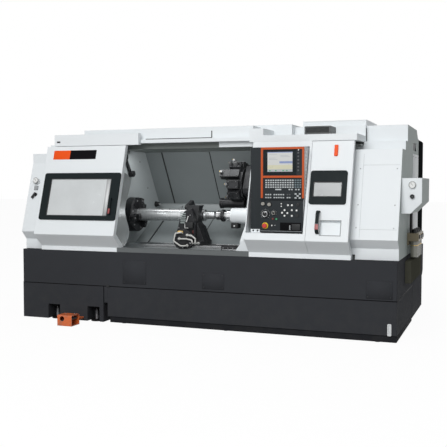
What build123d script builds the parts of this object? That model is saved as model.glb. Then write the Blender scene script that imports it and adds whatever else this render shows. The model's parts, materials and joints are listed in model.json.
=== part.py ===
from build123d import *
from math import cos, pi, radians, sin, tan
import os

# Lengths are in millimetres. Places are measured from the left end of the base (x),
# from the front of the base (y) and from the floor (z).

# Overall
base_length = 4000
base_depth = 2290
side_reach = 184  # gauge box, past the right end of the base
pedal_reach = 326  # foot switch, in front of the base
left_overhang = 18  # headstock-side enclosure, past the left end of the base
run_gap = 0.3  # between pieces that slide past each other
fit_gap = 0.05  # radial, shaft in bore
overrun = 20  # cuts run past the material
edge_radius = 8  # folded sheet edges

# Base, skirt and coolant tank
seam_z = 381
base_top = 742
base_cut_y = 72
base_cut_z = 50
seam_chamfer = 6
skirt_length = 990
skirt_depth = 2182
skirt_bottom = 30
notch_width = 145
notch_height = 158
notch_depth = 150
notch_first = 316
notch_pitch = 482
pedestal_start = 1040
pedestal_gap = 10
tank_depth = 1205
tank_bottom = 67
tank_inset = 70
tank_foot_radius = 28
tank_foot_inset = 46
tank_foot_shares = (0.06, 0.44, 0.94)
gauge_inset = 83
gauge_width = 36
gauge_z = 66
gauge_height = 110
gauge_thick = 10
gauge_slot_share = 0.36

# Levelling feet
pad_radius = 62
pad_height = 20
screw_radius = 18
nut_radius = 32
nut_height = 26
rear_foot_inset = 110
pedestal_foot_shares = (0.08, 0.5, 0.92)

# Leaning front: doors, console panel and sill
lean = 16.9
undercut = 41.9
face_y = -145  # where the leaning face meets the undercut
face_z = 918
sill_top = 787.4
sill_depth = 85
door_thick = 50
door_top = 1846
left_door_x = 240
left_door_lead = 243  # past the headstock-side enclosure
inner_gap = 8
inner_thick = 40
inner_bottom = 862
inner_x = 236
inner_short = 57
right_panel_set = 1010  # from the tailstock-side enclosure
right_panel_length = 590
tail_door_gap = 2
tail_door_length = 396
panel_top = 1850

# Left door window, frame and grip
left_frame_inset = 36
left_frame_tail = 2
left_frame_s = 157
left_frame_height = 511
frame_thick = 12
frame_radius = 24
left_glass_inset = 81
left_glass_tail = 101
left_glass_s = 200
left_glass_height = 410
glass_thick = 8
glass_lap = 12
glass_gap = 3
grip_set = 77
grip_s = 220
grip_height = 171
grip_width = 16
grip_reach = 30
grip_thick = 10

# Splash wing behind the leading edge of the left door
wing_thick = 40
wing_high_z = 1560
wing_top_y = 236
wing_top_z = 1480
wing_neck_y = 112
wing_neck_z = 1151
wing_lobe_y = 196
wing_lobe_z = 965
wing_tip_y = 78
wing_tip_z = 800

# Door on the tailstock side
tail_frame_inset = 8
tail_frame_length = 347
tail_frame_s = 350
tail_frame_height = 325
tail_glass_x = 38
tail_glass_length = 275
tail_glass_s = 419
tail_glass_height = 152
tail_handle_x = 96
tail_handle_s = 69
tail_handle_height = 218
tail_handle_width = 29
tail_handle_reach = 62
tail_handle_thick = 17
tail_handle_radius = 48
pocket_x = 134
pocket_s = 60
pocket_length = 184
pocket_height = 135
pocket_depth = 34
lamp_x = 215
lamp_s = 818
lamp_length = 35
lamp_height = 109
lamp_thick = 14
lamp_chamfer_share = 0.25

# Fixed enclosures
wall = 25
left_shell_length = 950
shell_rear = 1640
shell_face_set = 145  # behind the door face
shell_foot_y = 90
shell_foot_z = 848
shell_knee_z = 932
left_knee_z = 1677
left_top = 1778
right_shell_length = 400
shell_lip = 110  # behind the tailstock-side door
right_slant_top = 1768
right_step_y = 505
right_step_z = 1856
right_tower_y = 660
roof_z = 2020
roof_rear_y = 1443
roof_slope_y = 1575
roof_slope_z = 1933
side_vent_y = 1118
side_vent_length = 300
side_vent_z = 1790
side_vent_height = 80
side_vent_depth = 12

# Machining area
bulkhead_thick = 15
ceiling_z = 1812
sheet = 12
wall_top_y = 1049
crease_y = 1422
crease_z = 1210
chute_foot_y = 754
chute_foot_z = 757
chute_top_z = 1132
panel_lap = 30
upper_seam_shares = (0.079, 0.305)
lower_seam_shares = (0.059, 0.294)
tray_front = 100

# Header and roof
header_left_x = 326
header_lead = 145
header_front_y = 140
header_left_top = 1970
rail_y = 198
rail_depth = 64
rail_bottom = 1868
rail_top = 1905
beam_x = 632
beam_front_y = 250
beam_rear_y = 500
cap_lead = 42
cap_length = 142
cap_top = 1982
cap_rear_y = 500
strip_length = 365
strip_bottom = 1815
fascia_y = 330
right_header_top = 1913
hood_front_y = 600
hump_lead = 350
hump_tail = 720
hump_front_y = 500
hump_rear_y = 1350
hump_top = 2042
roof_box_length = 650
roof_box_gap = 10
roof_box_y = 700
roof_box_top = 2085
roof_box_chamfer = 12
vent_set = 500
vent_length = 250
vent_depth = 250
vent_height = 76
vent_rim = 14
vent_blades = 5
vent_blade_share = 0.45

# Bed, ways and headstock
bed_face_y = 1530
bed_rear_y = 1615
bed_top = 1400
way_size = 30
way_low_z = 1085
way_high_z = 1265
tail_way_front = 330
tail_way_pitch = 230
tail_way_width = 42
tail_way_height = 49
tail_way_lead = 35
tail_way_tail = 40
head_x = 300
head_gap = 20
head_front_y = 430
head_rear_y = 860
head_top = 1330

# Spindle line
axis_y = 640
axis_z = 1108
spindle_radius = 105
spindle_bore = 52
actuator_x = 70
actuator_length = 190
actuator_radius = 150
nose_radius = 122
nose_length = 20
nose_hole_gap = 6
chuck_radius = 190
chuck_length = 100
chuck_edge = 10
jaw_count = 3
jaw_first_deg = 75
jaw_slot_depth = 20
jaw_width = 62
jaw_outer = 182
jaw_step = 118
jaw_reach = 62
jaw_low = 26
work_radius = 67.5
work_share = 0.337  # turned length, of the machining area
collar_gap = 10
collar_radius = 62
collar_length = 22
neck_radius = 40
neck_length = 141
groove_radius = 52
centre_hole_radius = 12

# Tailstock
cone_radius = 27
cone_deg = 60
live_radius = 48
live_length = 56
live_flange_radius = 64
live_flange_length = 26
live_rear_length = 40
shank_radius = 30
shank_length = 180
quill_radius = 60
quill_length = 430
nose_set = 48
tail_nose_radius = 82.5
barrel_radius = 125
barrel_set = 199
barrel_length = 350
tail_foot_front = 310
tail_foot_rear = 622
tail_foot_height = 56
tail_web_front = 525
tail_web_rear = 755
tail_web_z = 1060

# Steady rest
steady_set = 108
steady_thick = 140
steady_foot_length = 215
steady_foot_height = 42
steady_front = 400
steady_rear = 600
steady_top_z = 1218
steady_throat = 118
steady_neck_z = 1040
housing_front = 345
housing_edge = 10
housing_outline = (  # across from the body's left side, and height
    (-68, 850),
    (-68, 962),
    (-36, 1072),
    (12, 1158),
    (96, 1192),
    (140, 1060),
    (140, 850),
)
drum_set = 35
drum_z = 870
drum_radius = 106
drum_front = 262
drum_cap_radius = 52
drum_cap_reach = 12
roller_radius = 25
roller_length = 34
roller_gap = 4
arm_thick = 36
arm_width = 44
pin_radius = 16
pin_y = 500
pin_drop = 88
arm_angle = 62  # roller, above and below the workpiece, from the rear
arm_knee_share = 0.625
hose_radius = 8
hose_bend = 20
hose_sides = 8
hose_shares = (  # across and up, in drum radii from the drum axis
    ((-0.03, 0.7), (-0.6, 0.62), (-0.78, -0.15), (-0.05, -0.6), (0.5, -0.58)),
    ((-0.28, 0.08), (0.55, 0.1), (1.18, -0.02), (1.18, -0.36)),
    ((1.5, -0.36), (1.5, 0.14), (1.05, 0.46), (0.52, 0.44)),
)
fitting_radius = 14
fitting_length = 30

# Saddle, cross slide and turret
slide_deg = 60
turret_out = 385  # turret axis from the spindle axis
turret_set = 267
turret_thick = 165
turret_apothem = 175
turret_sides = 12
hub_radius = 60
hub_length = 110
hub_gap = 5
guide_set = 160  # guide face behind the turret axis
guide_low = -230
guide_high = 230
saddle_length = 320
saddle_lead_share = 0.05
saddle_top_y = 1150
saddle_back_y = 1340
neck_low = 1150
neck_high = 1200
runner_y = 1440
runner_low = 1050
runner_high = 1330
ram_half = 170
ram_front = 150
ram_chamfer = 34
boring_radius = 52
boring_set = 30  # axis above the turret flat
boring_lead = 132
boring_tail = 20
boring_collar = 58
boring_collar_length = 28
boring_bar_radius = 20
boring_bar_reach = 12
boring_stations = (0, 8)
tool_stations = (2, 3, 5, 6, 7, 10)
reach_stations = (4, 9)
blank_stations = (1, 11)
holder_width = 84
holder_height = 66
holder_length = 130
holder_reach = 84
sleeve_station = 5
sleeve_radius = 28
sleeve_reach = 36
holder_chamfer = 12
blank_height = 12
shank_size = 25
shank_reach = 34
shank_side = 24

# Tool setter on the bulkhead
setter_y = 520
setter_z = 1735
setter_boss_radius = 42
setter_boss_length = 30
setter_arm_length = 215
setter_arm_width = 34
setter_arm_thick = 26
setter_head = 56
setter_round_share = 0.2
setter_deg = -55

# Console
console_set = 140
console_length = 420
console_front = -50
console_bottom = 990
console_height = 796
console_lower_height = 312
console_lower_reach = 36
console_chamfer = 16
console_corner = 30
console_gap = 6
shoulder_set = 35
shoulder_step = 6
shoulder_bottom = 1014
shoulder_inset = 8
tub_margin = 10
tub_wall = 12
tub_bottom = 981
tub_top = 1796
tub_back = 213
cheek_reach = 225
cheek_rise = 100
trim_width = 20
trim_thick = 9
trim_mid_z = 1510
trim_low_z = 1309
screen_set = 60
screen_length = 252
screen_z = 1552
screen_height = 194
screen_thick = 6
key_columns = 10
key_rows = 4
key_pitch_x = 32
key_pitch_z = 22
key_width = 22
key_height = 13
key_thick = 6
key_z = 1428
soft_columns = 8
soft_pitch_x = 42
soft_z = 1340
round_columns = 4
round_pitch = 34
round_set = 280
round_z = 1215
round_radius = 11
estop_set = 52
estop_z = 1050
estop_radius = 22
estop_stem = 11
estop_reach = 30
wheel_set = 54
wheel_z = 1160
wheel_radius = 34
wheel_thick = 22
knob_sides = 16
knob_chamfer_share = 1 / 6
dial_set = 138
dial_z = 1172
dial_radius = 20
dial_thick = 18
post_length = 10
post_radius = 6

# Gauge box, air unit and gauges on the enclosures
box_y = 215
box_depth = 690
box_bottom = 1169
box_top = 1496
box_cut = 101
side_gauge_x = 98
side_gauge_z = 1434
side_knob_z = 1328
dial_case_radius = 33
dial_case_thick = 16
knob_radius = 20
knob_thick = 28
air_y = 700
air_pitch = 150
air_count = 3
air_width = 96
air_top = 960
air_body = 120
air_neck_share = 1 / 3
bowl_radius = 38
bowl_length = 120
air_bracket = 14
pipe_radius = 14
air_box_y = 560
air_box_length = 900
air_box_bottom = 480
air_box_height = 215
air_box_depth = 58
left_gauge_x = 80
left_gauge_z = 1472
left_switch_z = 1400
left_switch_size = 44
left_lever_z = 1330
left_lever_length = 74
lever_pivot_share = 0.25

# Electrical cabinet
cabinet_length = 2200
cabinet_gap = 7
cabinet_depth = 482
cabinet_top = 1935
cabinet_chamfer = 14
cabinet_doors = 3
cabinet_door_margin = 40
cabinet_door_thick = 10

# Foot switch
guard_length = 168
guard_right = 808
guard_depth = 150
guard_height = 110
guard_wall = 6
guard_hole_radius = 26
guard_round_share = 1 / 6
hole_across_share = 1 / 3
hole_up_share = 2 / 3
treadle_length = 120
treadle_width = 110
treadle_z = 40
treadle_deg = 14
treadle_pin = 7
treadle_pin_set = 24
treadle_overlap = 28
treadle_boss = 21
bracket_width = 60
bracket_thick = 16

# Places that follow from the sizes
left_end = (left_overhang - base_length - side_reach) / 2
base_front = -(base_depth - pedal_reach) / 2
pedestal_front = tank_depth + pedestal_gap
gauge_x = base_length - gauge_inset
right_shell_x = base_length - right_shell_length
lip_x = right_shell_x - shell_lip
lining_x = left_shell_length + bulkhead_thick
area_length = right_shell_x - lining_x
left_door_end = left_shell_length + left_door_lead
left_door_length = left_door_end - left_door_x
left_frame_x = left_door_x + left_frame_inset
left_frame_end = left_door_end - left_frame_tail
left_frame_length = left_frame_end - left_frame_x
left_glass_x = left_frame_x + left_glass_inset
left_glass_length = left_frame_end - left_glass_tail - left_glass_x
grip_x = left_frame_end - grip_set
inner_length = left_door_length - inner_short
right_panel_x = right_shell_x - right_panel_set
right_panel_end = right_panel_x + right_panel_length
tail_door_x = right_panel_end + tail_door_gap
tail_door_end = tail_door_x + tail_door_length
lean_tan = tan(radians(lean))
lean_cos = cos(radians(lean))
under_tan = tan(radians(undercut))
under_sin = sin(radians(undercut))
slide_y = cos(radians(slide_deg))
slide_z = sin(radians(slide_deg))
turret_y = axis_y + turret_out * slide_y
turret_z = axis_z + turret_out * slide_z
work_x = lining_x + nose_length + chuck_length
chuck_x = work_x - chuck_length
work_end = lining_x + work_share * area_length
neck_end = work_end + neck_length
turret_x = work_end + turret_set
turret_end = turret_x + turret_thick
boring_x = turret_x - boring_lead
boring_end = turret_end - boring_tail
steady_x = work_end - steady_set
steady_foot_end = steady_x + steady_foot_length
drum_x = steady_x + drum_set
saddle_x = turret_end + hub_gap + saddle_lead_share * saddle_length
tail_way_x = left_shell_length + tail_way_lead
tail_way_end = right_shell_x - tail_way_tail
tail_way_z = chute_foot_z + tail_way_height
head_end = left_shell_length - head_gap
header_left_end = left_door_end + header_lead
cap_x = right_panel_x - cap_lead
strip_x = cap_x - strip_length
hump_x = left_shell_length + hump_lead
hump_end = right_shell_x - hump_tail
roof_box_end = right_shell_x - roof_box_gap
roof_box_x = roof_box_end - roof_box_length
vent_x = right_shell_x - vent_set
cabinet_x = base_length - cabinet_length
cabinet_front = shell_rear + cabinet_gap
cabinet_rear = cabinet_front + cabinet_depth
console_x = right_panel_x + console_set
console_end = console_x + console_length
shoulder_x = right_panel_x + shoulder_set
screen_x = console_x + screen_set
round_x = console_x + round_set
estop_x = console_x + estop_set
wheel_x = console_x + wheel_set
dial_x = console_x + dial_set

os.makedirs("parts", exist_ok=True)


def across(x):
    return Plane(origin=(left_end + x, base_front, 0), x_dir=(0, 1, 0), z_dir=(1, 0, 0))


def facing(y):
    return Plane(origin=(left_end, base_front + y, 0), x_dir=(1, 0, 0), z_dir=(0, -1, 0))


def level(z):
    return Plane(origin=(left_end, base_front, z))


def leaning(t):
    normal = (0, -lean_cos, sin(radians(lean)))
    foot = (left_end, base_front + face_y, face_z)
    return Plane(origin=foot, x_dir=(1, 0, 0), z_dir=normal).offset(-t)


def on_axis(y, z):
    return Plane(origin=(left_end, base_front + y, z), x_dir=(1, 0, 0), z_dir=(0, -1, 0))


def axis_line(y, z):
    return Axis((left_end, base_front + y, z), (1, 0, 0))


def lean_y(t, z):
    return face_y + t / lean_cos + (z - face_z) * lean_tan


def under_y(t, z):
    return face_y + (face_z - z) / under_tan + t / under_sin


def fold_z(t):
    return face_z + t * (1 / under_sin - 1 / lean_cos) / (lean_tan + 1 / under_tan)


def rect(a_from, a_to, b_from, b_to):
    return [(a_from, b_from), (a_to, b_from), (a_to, b_to), (a_from, b_to)]


def folded(t_front, t_back, z_bottom, z_top):
    front_z = fold_z(t_front)
    back_z = fold_z(t_back)
    return [
        (lean_y(t_front, z_top), z_top),
        (lean_y(t_front, front_z), front_z),
        (under_y(t_front, z_bottom), z_bottom),
        (under_y(t_back, z_bottom), z_bottom),
        (lean_y(t_back, back_z), back_z),
        (lean_y(t_back, z_top), z_top),
    ]


def slant(along, out):
    y = turret_y + along * slide_y - out * slide_z
    z = turret_z + along * slide_z + out * slide_y
    return (y, z)


def turned(points):
    total = 0
    for first, second in zip(points, points[1:] + points[:1]):
        total += first[0] * second[1] - second[0] * first[1]
    return points if total > 0 else points[::-1]


def prism(x_from, x_to, points, mode=Mode.ADD):
    with BuildSketch(across(x_from)) as section:
        Polygon(*turned(points))
    extrude(section.sketch, amount=x_to - x_from, mode=mode)


def slab(y_from, y_to, points, mode=Mode.ADD):
    with BuildSketch(facing(y_from)) as section:
        Polygon(*turned(points))
    extrude(section.sketch, amount=y_from - y_to, mode=mode)


def raised(t_from, height, points, mode=Mode.ADD):
    with BuildSketch(leaning(t_from)) as section:
        Polygon(*turned(points))
    extrude(section.sketch, amount=height, mode=mode)


def turn(y, z, points, mode=Mode.ADD):
    with BuildSketch(on_axis(y, z)) as section:
        Polygon(*turned(points))
    revolve(section.sketch, axis=axis_line(y, z), mode=mode)


def rod_x(x_from, x_to, y, z, radius, mode=Mode.ADD):
    with BuildSketch(across(x_from)) as section:
        with Locations((y, z)):
            Circle(radius)
    extrude(section.sketch, amount=x_to - x_from, mode=mode)


def rod_y(y_from, y_to, x, z, radius, mode=Mode.ADD):
    with BuildSketch(facing(y_from)) as section:
        with Locations((x, z)):
            Circle(radius)
    extrude(section.sketch, amount=y_from - y_to, mode=mode)


def rod_z(z_from, z_to, x, y, radius, mode=Mode.ADD):
    with BuildSketch(level(z_from)) as section:
        with Locations((x, y)):
            Circle(radius)
    extrude(section.sketch, amount=z_to - z_from, mode=mode)


def finish(piece, name):
    piece.part.label = name
    export_step(piece.part, f"parts/{name}.step")


# Base frame: the charcoal upper band, its rear lower edge cut back
with BuildPart() as base_frame:
    prism(0, base_length, [
        (0, seam_z),
        (base_depth - base_cut_y, seam_z),
        (base_depth, seam_z + base_cut_z),
        (base_depth, base_top),
        (0, base_top),
    ])
    upright = base_frame.edges().filter_by(Axis.Z).group_by(Axis.Y)[0]
    fillet(upright, edge_radius)
finish(base_frame, "base_frame")

# Skirt under the headstock end with two foot notches, and the pedestal behind the tank
with BuildPart() as base_skirt:
    prism(0, skirt_length, rect(0, skirt_depth, skirt_bottom, seam_z))
    for number in range(2):
        notch_x = notch_first + number * notch_pitch
        slab(-overrun, notch_depth, rect(notch_x, notch_x + notch_width, 0, notch_height), Mode.SUBTRACT)
    chamfer(base_skirt.edges().filter_by(Axis.X).group_by(Axis.Z)[-1].sort_by(Axis.Y)[0], seam_chamfer)
    prism(pedestal_start, base_length, rect(pedestal_front, skirt_depth, skirt_bottom, seam_z))
finish(base_skirt, "base_skirt")

# Coolant tank on short feet, its plinth set back
with BuildPart() as coolant_tank:
    prism(pedestal_start, base_length, rect(0, tank_depth, tank_bottom, seam_z))
    chamfer(coolant_tank.edges().filter_by(Axis.X).group_by(Axis.Z)[-1].sort_by(Axis.Y)[0], seam_chamfer)
    plinth_x = pedestal_start + tank_inset
    plinth_end = base_length - tank_inset
    prism(plinth_x, plinth_end, rect(tank_inset, tank_depth - tank_inset, skirt_bottom, tank_bottom))
    for share in tank_foot_shares:
        foot_x = pedestal_start + share * (base_length - pedestal_start)
        for foot_y in (tank_foot_inset, tank_depth - tank_foot_inset):
            rod_z(0, tank_bottom, foot_x, foot_y, tank_foot_radius)
finish(coolant_tank, "coolant_tank")

# Levelling feet: pad, nut and screw under the skirt notches and the pedestal
with BuildPart() as levelling_feet:
    spots = []
    for number in range(2):
        spot_x = notch_first + number * notch_pitch + notch_width / 2
        spots.append((spot_x, notch_depth / 2, notch_height))
        spots.append((spot_x, skirt_depth - rear_foot_inset, skirt_bottom))
    for share in pedestal_foot_shares:
        spot_x = pedestal_start + share * (base_length - pedestal_start)
        spots.append((spot_x, pedestal_front + rear_foot_inset, skirt_bottom))
        spots.append((spot_x, skirt_depth - rear_foot_inset, skirt_bottom))
    for spot_x, spot_y, spot_top in spots:
        rod_z(0, pad_height, spot_x, spot_y, pad_radius)
        rod_z(pad_height, spot_top, spot_x, spot_y, screw_radius)
        if spot_top > pad_height + 2 * nut_height:
            with BuildSketch(level(spot_top - nut_height)) as nut:
                with Locations((spot_x, spot_y)):
                    RegularPolygon(nut_radius, 6)
            extrude(nut.sketch, amount=nut_height)
finish(levelling_feet, "levelling_feet")

# Coolant sight gauge on the front of the tank
with BuildPart() as sight_gauge:
    slab(-gauge_thick, 0, rect(gauge_x, gauge_x + gauge_width, gauge_z, gauge_z + gauge_height))
    fillet(sight_gauge.edges().filter_by(Axis.Y), gauge_thick)
    slot_inset = gauge_width * (1 - gauge_slot_share) / 2
    slab(-gauge_thick - overrun, -gauge_thick / 2, rect(
        gauge_x + slot_inset,
        gauge_x + gauge_width - slot_inset,
        gauge_z + slot_inset,
        gauge_z + gauge_height - slot_inset,
    ), Mode.SUBTRACT)
finish(sight_gauge, "sight_gauge")

# Headstock-side enclosure: a folded shell behind the sliding doors, with its strip of sill
left_profile = [
    (shell_foot_y, base_top),
    (shell_foot_y, shell_foot_z),
    (lean_y(shell_face_set, shell_knee_z), shell_knee_z),
    (lean_y(shell_face_set, left_knee_z), left_knee_z),
    (lean_y(shell_face_set, left_knee_z), left_top),
    (shell_rear, left_top),
    (shell_rear, base_top),
]
with BuildPart() as left_enclosure:
    prism(-left_overhang, left_shell_length, left_profile)
    prism(wall - left_overhang, left_shell_length + overrun, [
        (shell_foot_y + wall, base_top - overrun),
        (shell_foot_y + wall, shell_foot_z + wall / 2),
        (lean_y(shell_face_set + wall, shell_knee_z + wall / 2), shell_knee_z + wall / 2),
        (lean_y(shell_face_set + wall, left_knee_z), left_knee_z),
        (lean_y(shell_face_set + wall, left_knee_z), left_top - wall),
        (shell_rear - wall, left_top - wall),
        (shell_rear - wall, base_top - overrun),
    ], Mode.SUBTRACT)
    prism(left_door_x, left_door_end - wing_thick, rect(0, sill_depth, base_top, sill_top))
finish(left_enclosure, "left_enclosure")

# Inner lining of the machining area: bulkhead and the lapped upper panels
with BuildPart() as splash_panels:
    prism(left_shell_length, lining_x, [
        (shell_foot_y + sheet, chute_foot_z),
        (shell_foot_y + sheet, shell_foot_z),
        (lean_y(shell_face_set + sheet, shell_knee_z), shell_knee_z),
        (lean_y(shell_face_set + sheet, left_knee_z), left_knee_z),
        (lean_y(shell_face_set + sheet, left_knee_z), ceiling_z),
        (wall_top_y, ceiling_z),
        (crease_y, crease_z),
        (crease_y, chute_top_z),
        (chute_foot_y, chute_foot_z),
    ])
    hole_radius = nose_radius + nose_hole_gap
    rod_x(left_shell_length - overrun, lining_x + overrun, axis_y, axis_z, hole_radius, Mode.SUBTRACT)
    lap_y = sheet / cos(radians(lean))
    seam_ends = [lining_x + share * area_length for share in (0, *upper_seam_shares, 1)]
    for number in range(len(upper_seam_shares) + 1):
        proud = 0 if number == 1 else lap_y
        lap = panel_lap if number == 1 else 0
        prism(seam_ends[number] - lap, seam_ends[number + 1] + lap, [
            (wall_top_y - proud, ceiling_z),
            (wall_top_y - proud + lap_y, ceiling_z),
            (crease_y - proud + lap_y, crease_z),
            (crease_y - proud, crease_z),
        ])
finish(splash_panels, "splash_panels")

# Chip chute: tray, lapped sloping panels and the sill under the open doorway
with BuildPart() as chute:
    prism(lining_x, right_shell_x, rect(tray_front, chute_foot_y, base_top, chute_foot_z))
    seam_ends = [lining_x + share * area_length for share in (0, *lower_seam_shares, 1)]
    for number in range(len(lower_seam_shares) + 1):
        proud = 0 if number == 1 else sheet
        prism(seam_ends[number], seam_ends[number + 1], [
            (chute_foot_y, chute_foot_z - sheet),
            (chute_foot_y, chute_foot_z + proud),
            (crease_y, chute_top_z + proud),
            (crease_y, chute_top_z - sheet),
        ])
    sill_x = left_door_end - wing_thick
    prism(sill_x, right_panel_x, rect(0, sill_depth, base_top, sill_top))
finish(chute, "chute")

# Ceiling of the machining area with the fascia above the doorway
with BuildPart() as soffit:
    ceiling_top = ceiling_z + sheet
    prism(lining_x, right_shell_x, rect(fascia_y, wall_top_y, ceiling_z, ceiling_top))
    prism(lining_x, cap_x, rect(fascia_y, fascia_y + sheet, ceiling_top, rail_top))
finish(soffit, "soffit")

# Header: left cover, door rail, beam, end cap and the band over the console panel
with BuildPart() as header_covers:
    prism(header_left_x, cap_x, rect(rail_y, rail_y + rail_depth, rail_bottom, rail_top))
    prism(header_left_x, header_left_end, rect(header_front_y, rail_y, panel_top, header_left_top))
    prism(beam_x, cap_x, rect(beam_front_y, beam_rear_y, rail_top, roof_z))
    prism(header_left_x, left_shell_length, rect(rail_y + rail_depth, beam_rear_y, left_top, rail_top))
    prism(strip_x, cap_x, rect(rail_y + rail_depth, fascia_y, strip_bottom, rail_top))
    prism(cap_x, cap_x + cap_length, rect(header_front_y, cap_rear_y, panel_top, cap_top))
    prism(cap_x + cap_length, right_shell_x, rect(header_front_y, cap_rear_y, panel_top, right_header_top))
    prism(hump_end, right_shell_x, rect(cap_rear_y, hood_front_y, panel_top, right_header_top))
    prism(left_shell_length - wall, hump_x, rect(beam_rear_y, hood_front_y, ceiling_top, roof_z))
finish(header_covers, "header_covers")

# Roof: hollow hood over the bed, the raised hump and the low box beside it
with BuildPart() as roof_cover:
    prism(left_shell_length, right_shell_x, [
        (hood_front_y, ceiling_top),
        (hood_front_y, roof_z),
        (roof_rear_y, roof_z),
        (roof_slope_y, roof_slope_z),
        (shell_rear, roof_slope_z),
        (shell_rear, ceiling_top),
    ])
    prism(left_shell_length + wall, right_shell_x + overrun, [
        (hood_front_y + wall, ceiling_top - overrun),
        (hood_front_y + wall, roof_z - wall),
        (roof_rear_y, roof_z - wall),
        (roof_slope_y, roof_slope_z - wall),
        (shell_rear - wall, roof_slope_z - wall),
        (shell_rear - wall, ceiling_top - overrun),
    ], Mode.SUBTRACT)
    prism(hump_x, hump_end, rect(hump_front_y, hood_front_y, ceiling_top, hump_top))
    prism(hump_x, hump_end, rect(hood_front_y, hump_rear_y, roof_z, hump_top))
    prism(roof_box_x, roof_box_end, rect(roof_box_y, hump_rear_y, roof_z, roof_box_top))
    box_edges = roof_cover.edges().filter_by(Axis.X).group_by(Axis.Z)[-1]
    chamfer(box_edges, roof_box_chamfer)
finish(roof_cover, "roof_cover")

# Louvred outlet box on the header above the tailstock door
with BuildPart() as roof_vent:
    vent_end = vent_x + vent_length
    vent_rear = header_front_y + vent_depth
    vent_top = right_header_top + vent_height
    prism(vent_x, vent_end, rect(header_front_y, vent_rear, right_header_top, vent_top))
    slab(header_front_y - overrun, header_front_y + vent_rim, rect(
        vent_x + vent_rim,
        vent_end - vent_rim,
        right_header_top + vent_rim,
        vent_top - vent_rim,
    ), Mode.SUBTRACT)
    blade_pitch = (vent_height - 2 * vent_rim) / (vent_blades + vent_blade_share)
    for number in range(vent_blades):
        blade_z = right_header_top + vent_rim + (number + vent_blade_share / 2) * blade_pitch
        prism(vent_x + vent_rim, vent_end - vent_rim, [
            (header_front_y, blade_z),
            (header_front_y + vent_rim, blade_z + blade_pitch * (1 - vent_blade_share)),
            (header_front_y + vent_rim, blade_z + blade_pitch),
            (header_front_y, blade_z + blade_pitch * vent_blade_share),
        ])
finish(roof_vent, "roof_vent")

# Console panel: folded sheet, the tub that holds the console, and its strip of sill
with BuildPart() as right_panel:
    prism(right_panel_x, right_panel_end, folded(0, door_thick, sill_top, panel_top))
    prism(right_panel_x, right_panel_end, [
        (lean_y(door_thick / 2, tub_bottom - tub_wall), tub_bottom - tub_wall),
        (tub_back + tub_wall, tub_bottom - tub_wall),
        (tub_back + tub_wall, tub_top + tub_wall),
        (lean_y(door_thick / 2, tub_top + tub_wall), tub_top + tub_wall),
    ])
    prism(right_panel_x + tub_margin, console_end + console_gap, rect(
        face_y - overrun, tub_back, tub_bottom, tub_top,
    ), Mode.SUBTRACT)
    slab(console_front + shoulder_step, tub_back, rect(
        shoulder_x, console_x - shoulder_inset, tub_bottom, shoulder_bottom,
    ))
    prism(right_panel_x, tail_door_end, rect(0, sill_depth, base_top, sill_top))
    slab(tub_back, tub_back + tub_wall, [
        (right_panel_x - cheek_reach, chute_foot_z),
        (right_panel_x, tub_bottom + cheek_rise),
        (right_panel_end, tub_bottom + cheek_rise),
        (right_panel_end, chute_foot_z),
    ])
    fillet(right_panel.edges().filter_by(Axis.X).group_by(Axis.Y)[0], edge_radius)
finish(right_panel, "right_panel")

# Tailstock-side enclosure: a stepped folded shell closed at the right end
with BuildPart() as right_enclosure:
    prism(right_shell_x, base_length, [
        (shell_foot_y, base_top),
        (shell_foot_y, shell_foot_z),
        (lean_y(shell_face_set, shell_knee_z), shell_knee_z),
        (lean_y(shell_face_set, right_slant_top), right_slant_top),
        (right_step_y, right_slant_top),
        (right_step_y, right_step_z),
        (right_tower_y, right_step_z),
        (right_tower_y, roof_z),
        (roof_rear_y, roof_z),
        (roof_slope_y, roof_slope_z),
        (shell_rear, roof_slope_z),
        (shell_rear, base_top),
    ])
    prism(right_shell_x - overrun, base_length - wall, [
        (shell_foot_y + wall, base_top - overrun),
        (shell_foot_y + wall, shell_foot_z + wall / 2),
        (lean_y(shell_face_set + wall, shell_knee_z + wall / 2), shell_knee_z + wall / 2),
        (lean_y(shell_face_set + wall, right_slant_top - wall), right_slant_top - wall),
        (right_step_y + wall, right_slant_top - wall),
        (right_step_y + wall, right_step_z - wall),
        (right_tower_y + wall, right_step_z - wall),
        (right_tower_y + wall, roof_z - wall),
        (roof_rear_y, roof_z - wall),
        (roof_slope_y, roof_slope_z - wall),
        (shell_rear - wall, roof_slope_z - wall),
        (shell_rear - wall, base_top - overrun),
    ], Mode.SUBTRACT)
    prism(lip_x, right_shell_x, [
        (shell_foot_y, sill_top),
        (shell_foot_y, shell_foot_z),
        (lean_y(shell_face_set, shell_knee_z), shell_knee_z),
        (lean_y(shell_face_set, right_slant_top), right_slant_top),
        (right_step_y, right_slant_top),
        (right_step_y, ceiling_z),
        (right_step_y + wall, ceiling_z),
        (right_step_y + wall, right_slant_top - wall),
        (lean_y(shell_face_set + wall, right_slant_top - wall), right_slant_top - wall),
        (lean_y(shell_face_set + wall, shell_knee_z + wall / 2), shell_knee_z + wall / 2),
        (shell_foot_y + wall, shell_foot_z + wall / 2),
        (shell_foot_y + wall, sill_top),
    ])
    vent_y_end = side_vent_y + side_vent_length
    vent_z_end = side_vent_z + side_vent_height
    vent_outline = rect(side_vent_y, vent_y_end, side_vent_z, vent_z_end)
    prism(base_length - side_vent_depth, base_length + overrun, vent_outline, Mode.SUBTRACT)
finish(right_enclosure, "right_enclosure")

# Rear cover between the two enclosures
with BuildPart() as rear_enclosure:
    prism(left_shell_length, right_shell_x, rect(shell_rear - wall, shell_rear, base_top, ceiling_top))
finish(rear_enclosure, "rear_enclosure")

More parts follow.
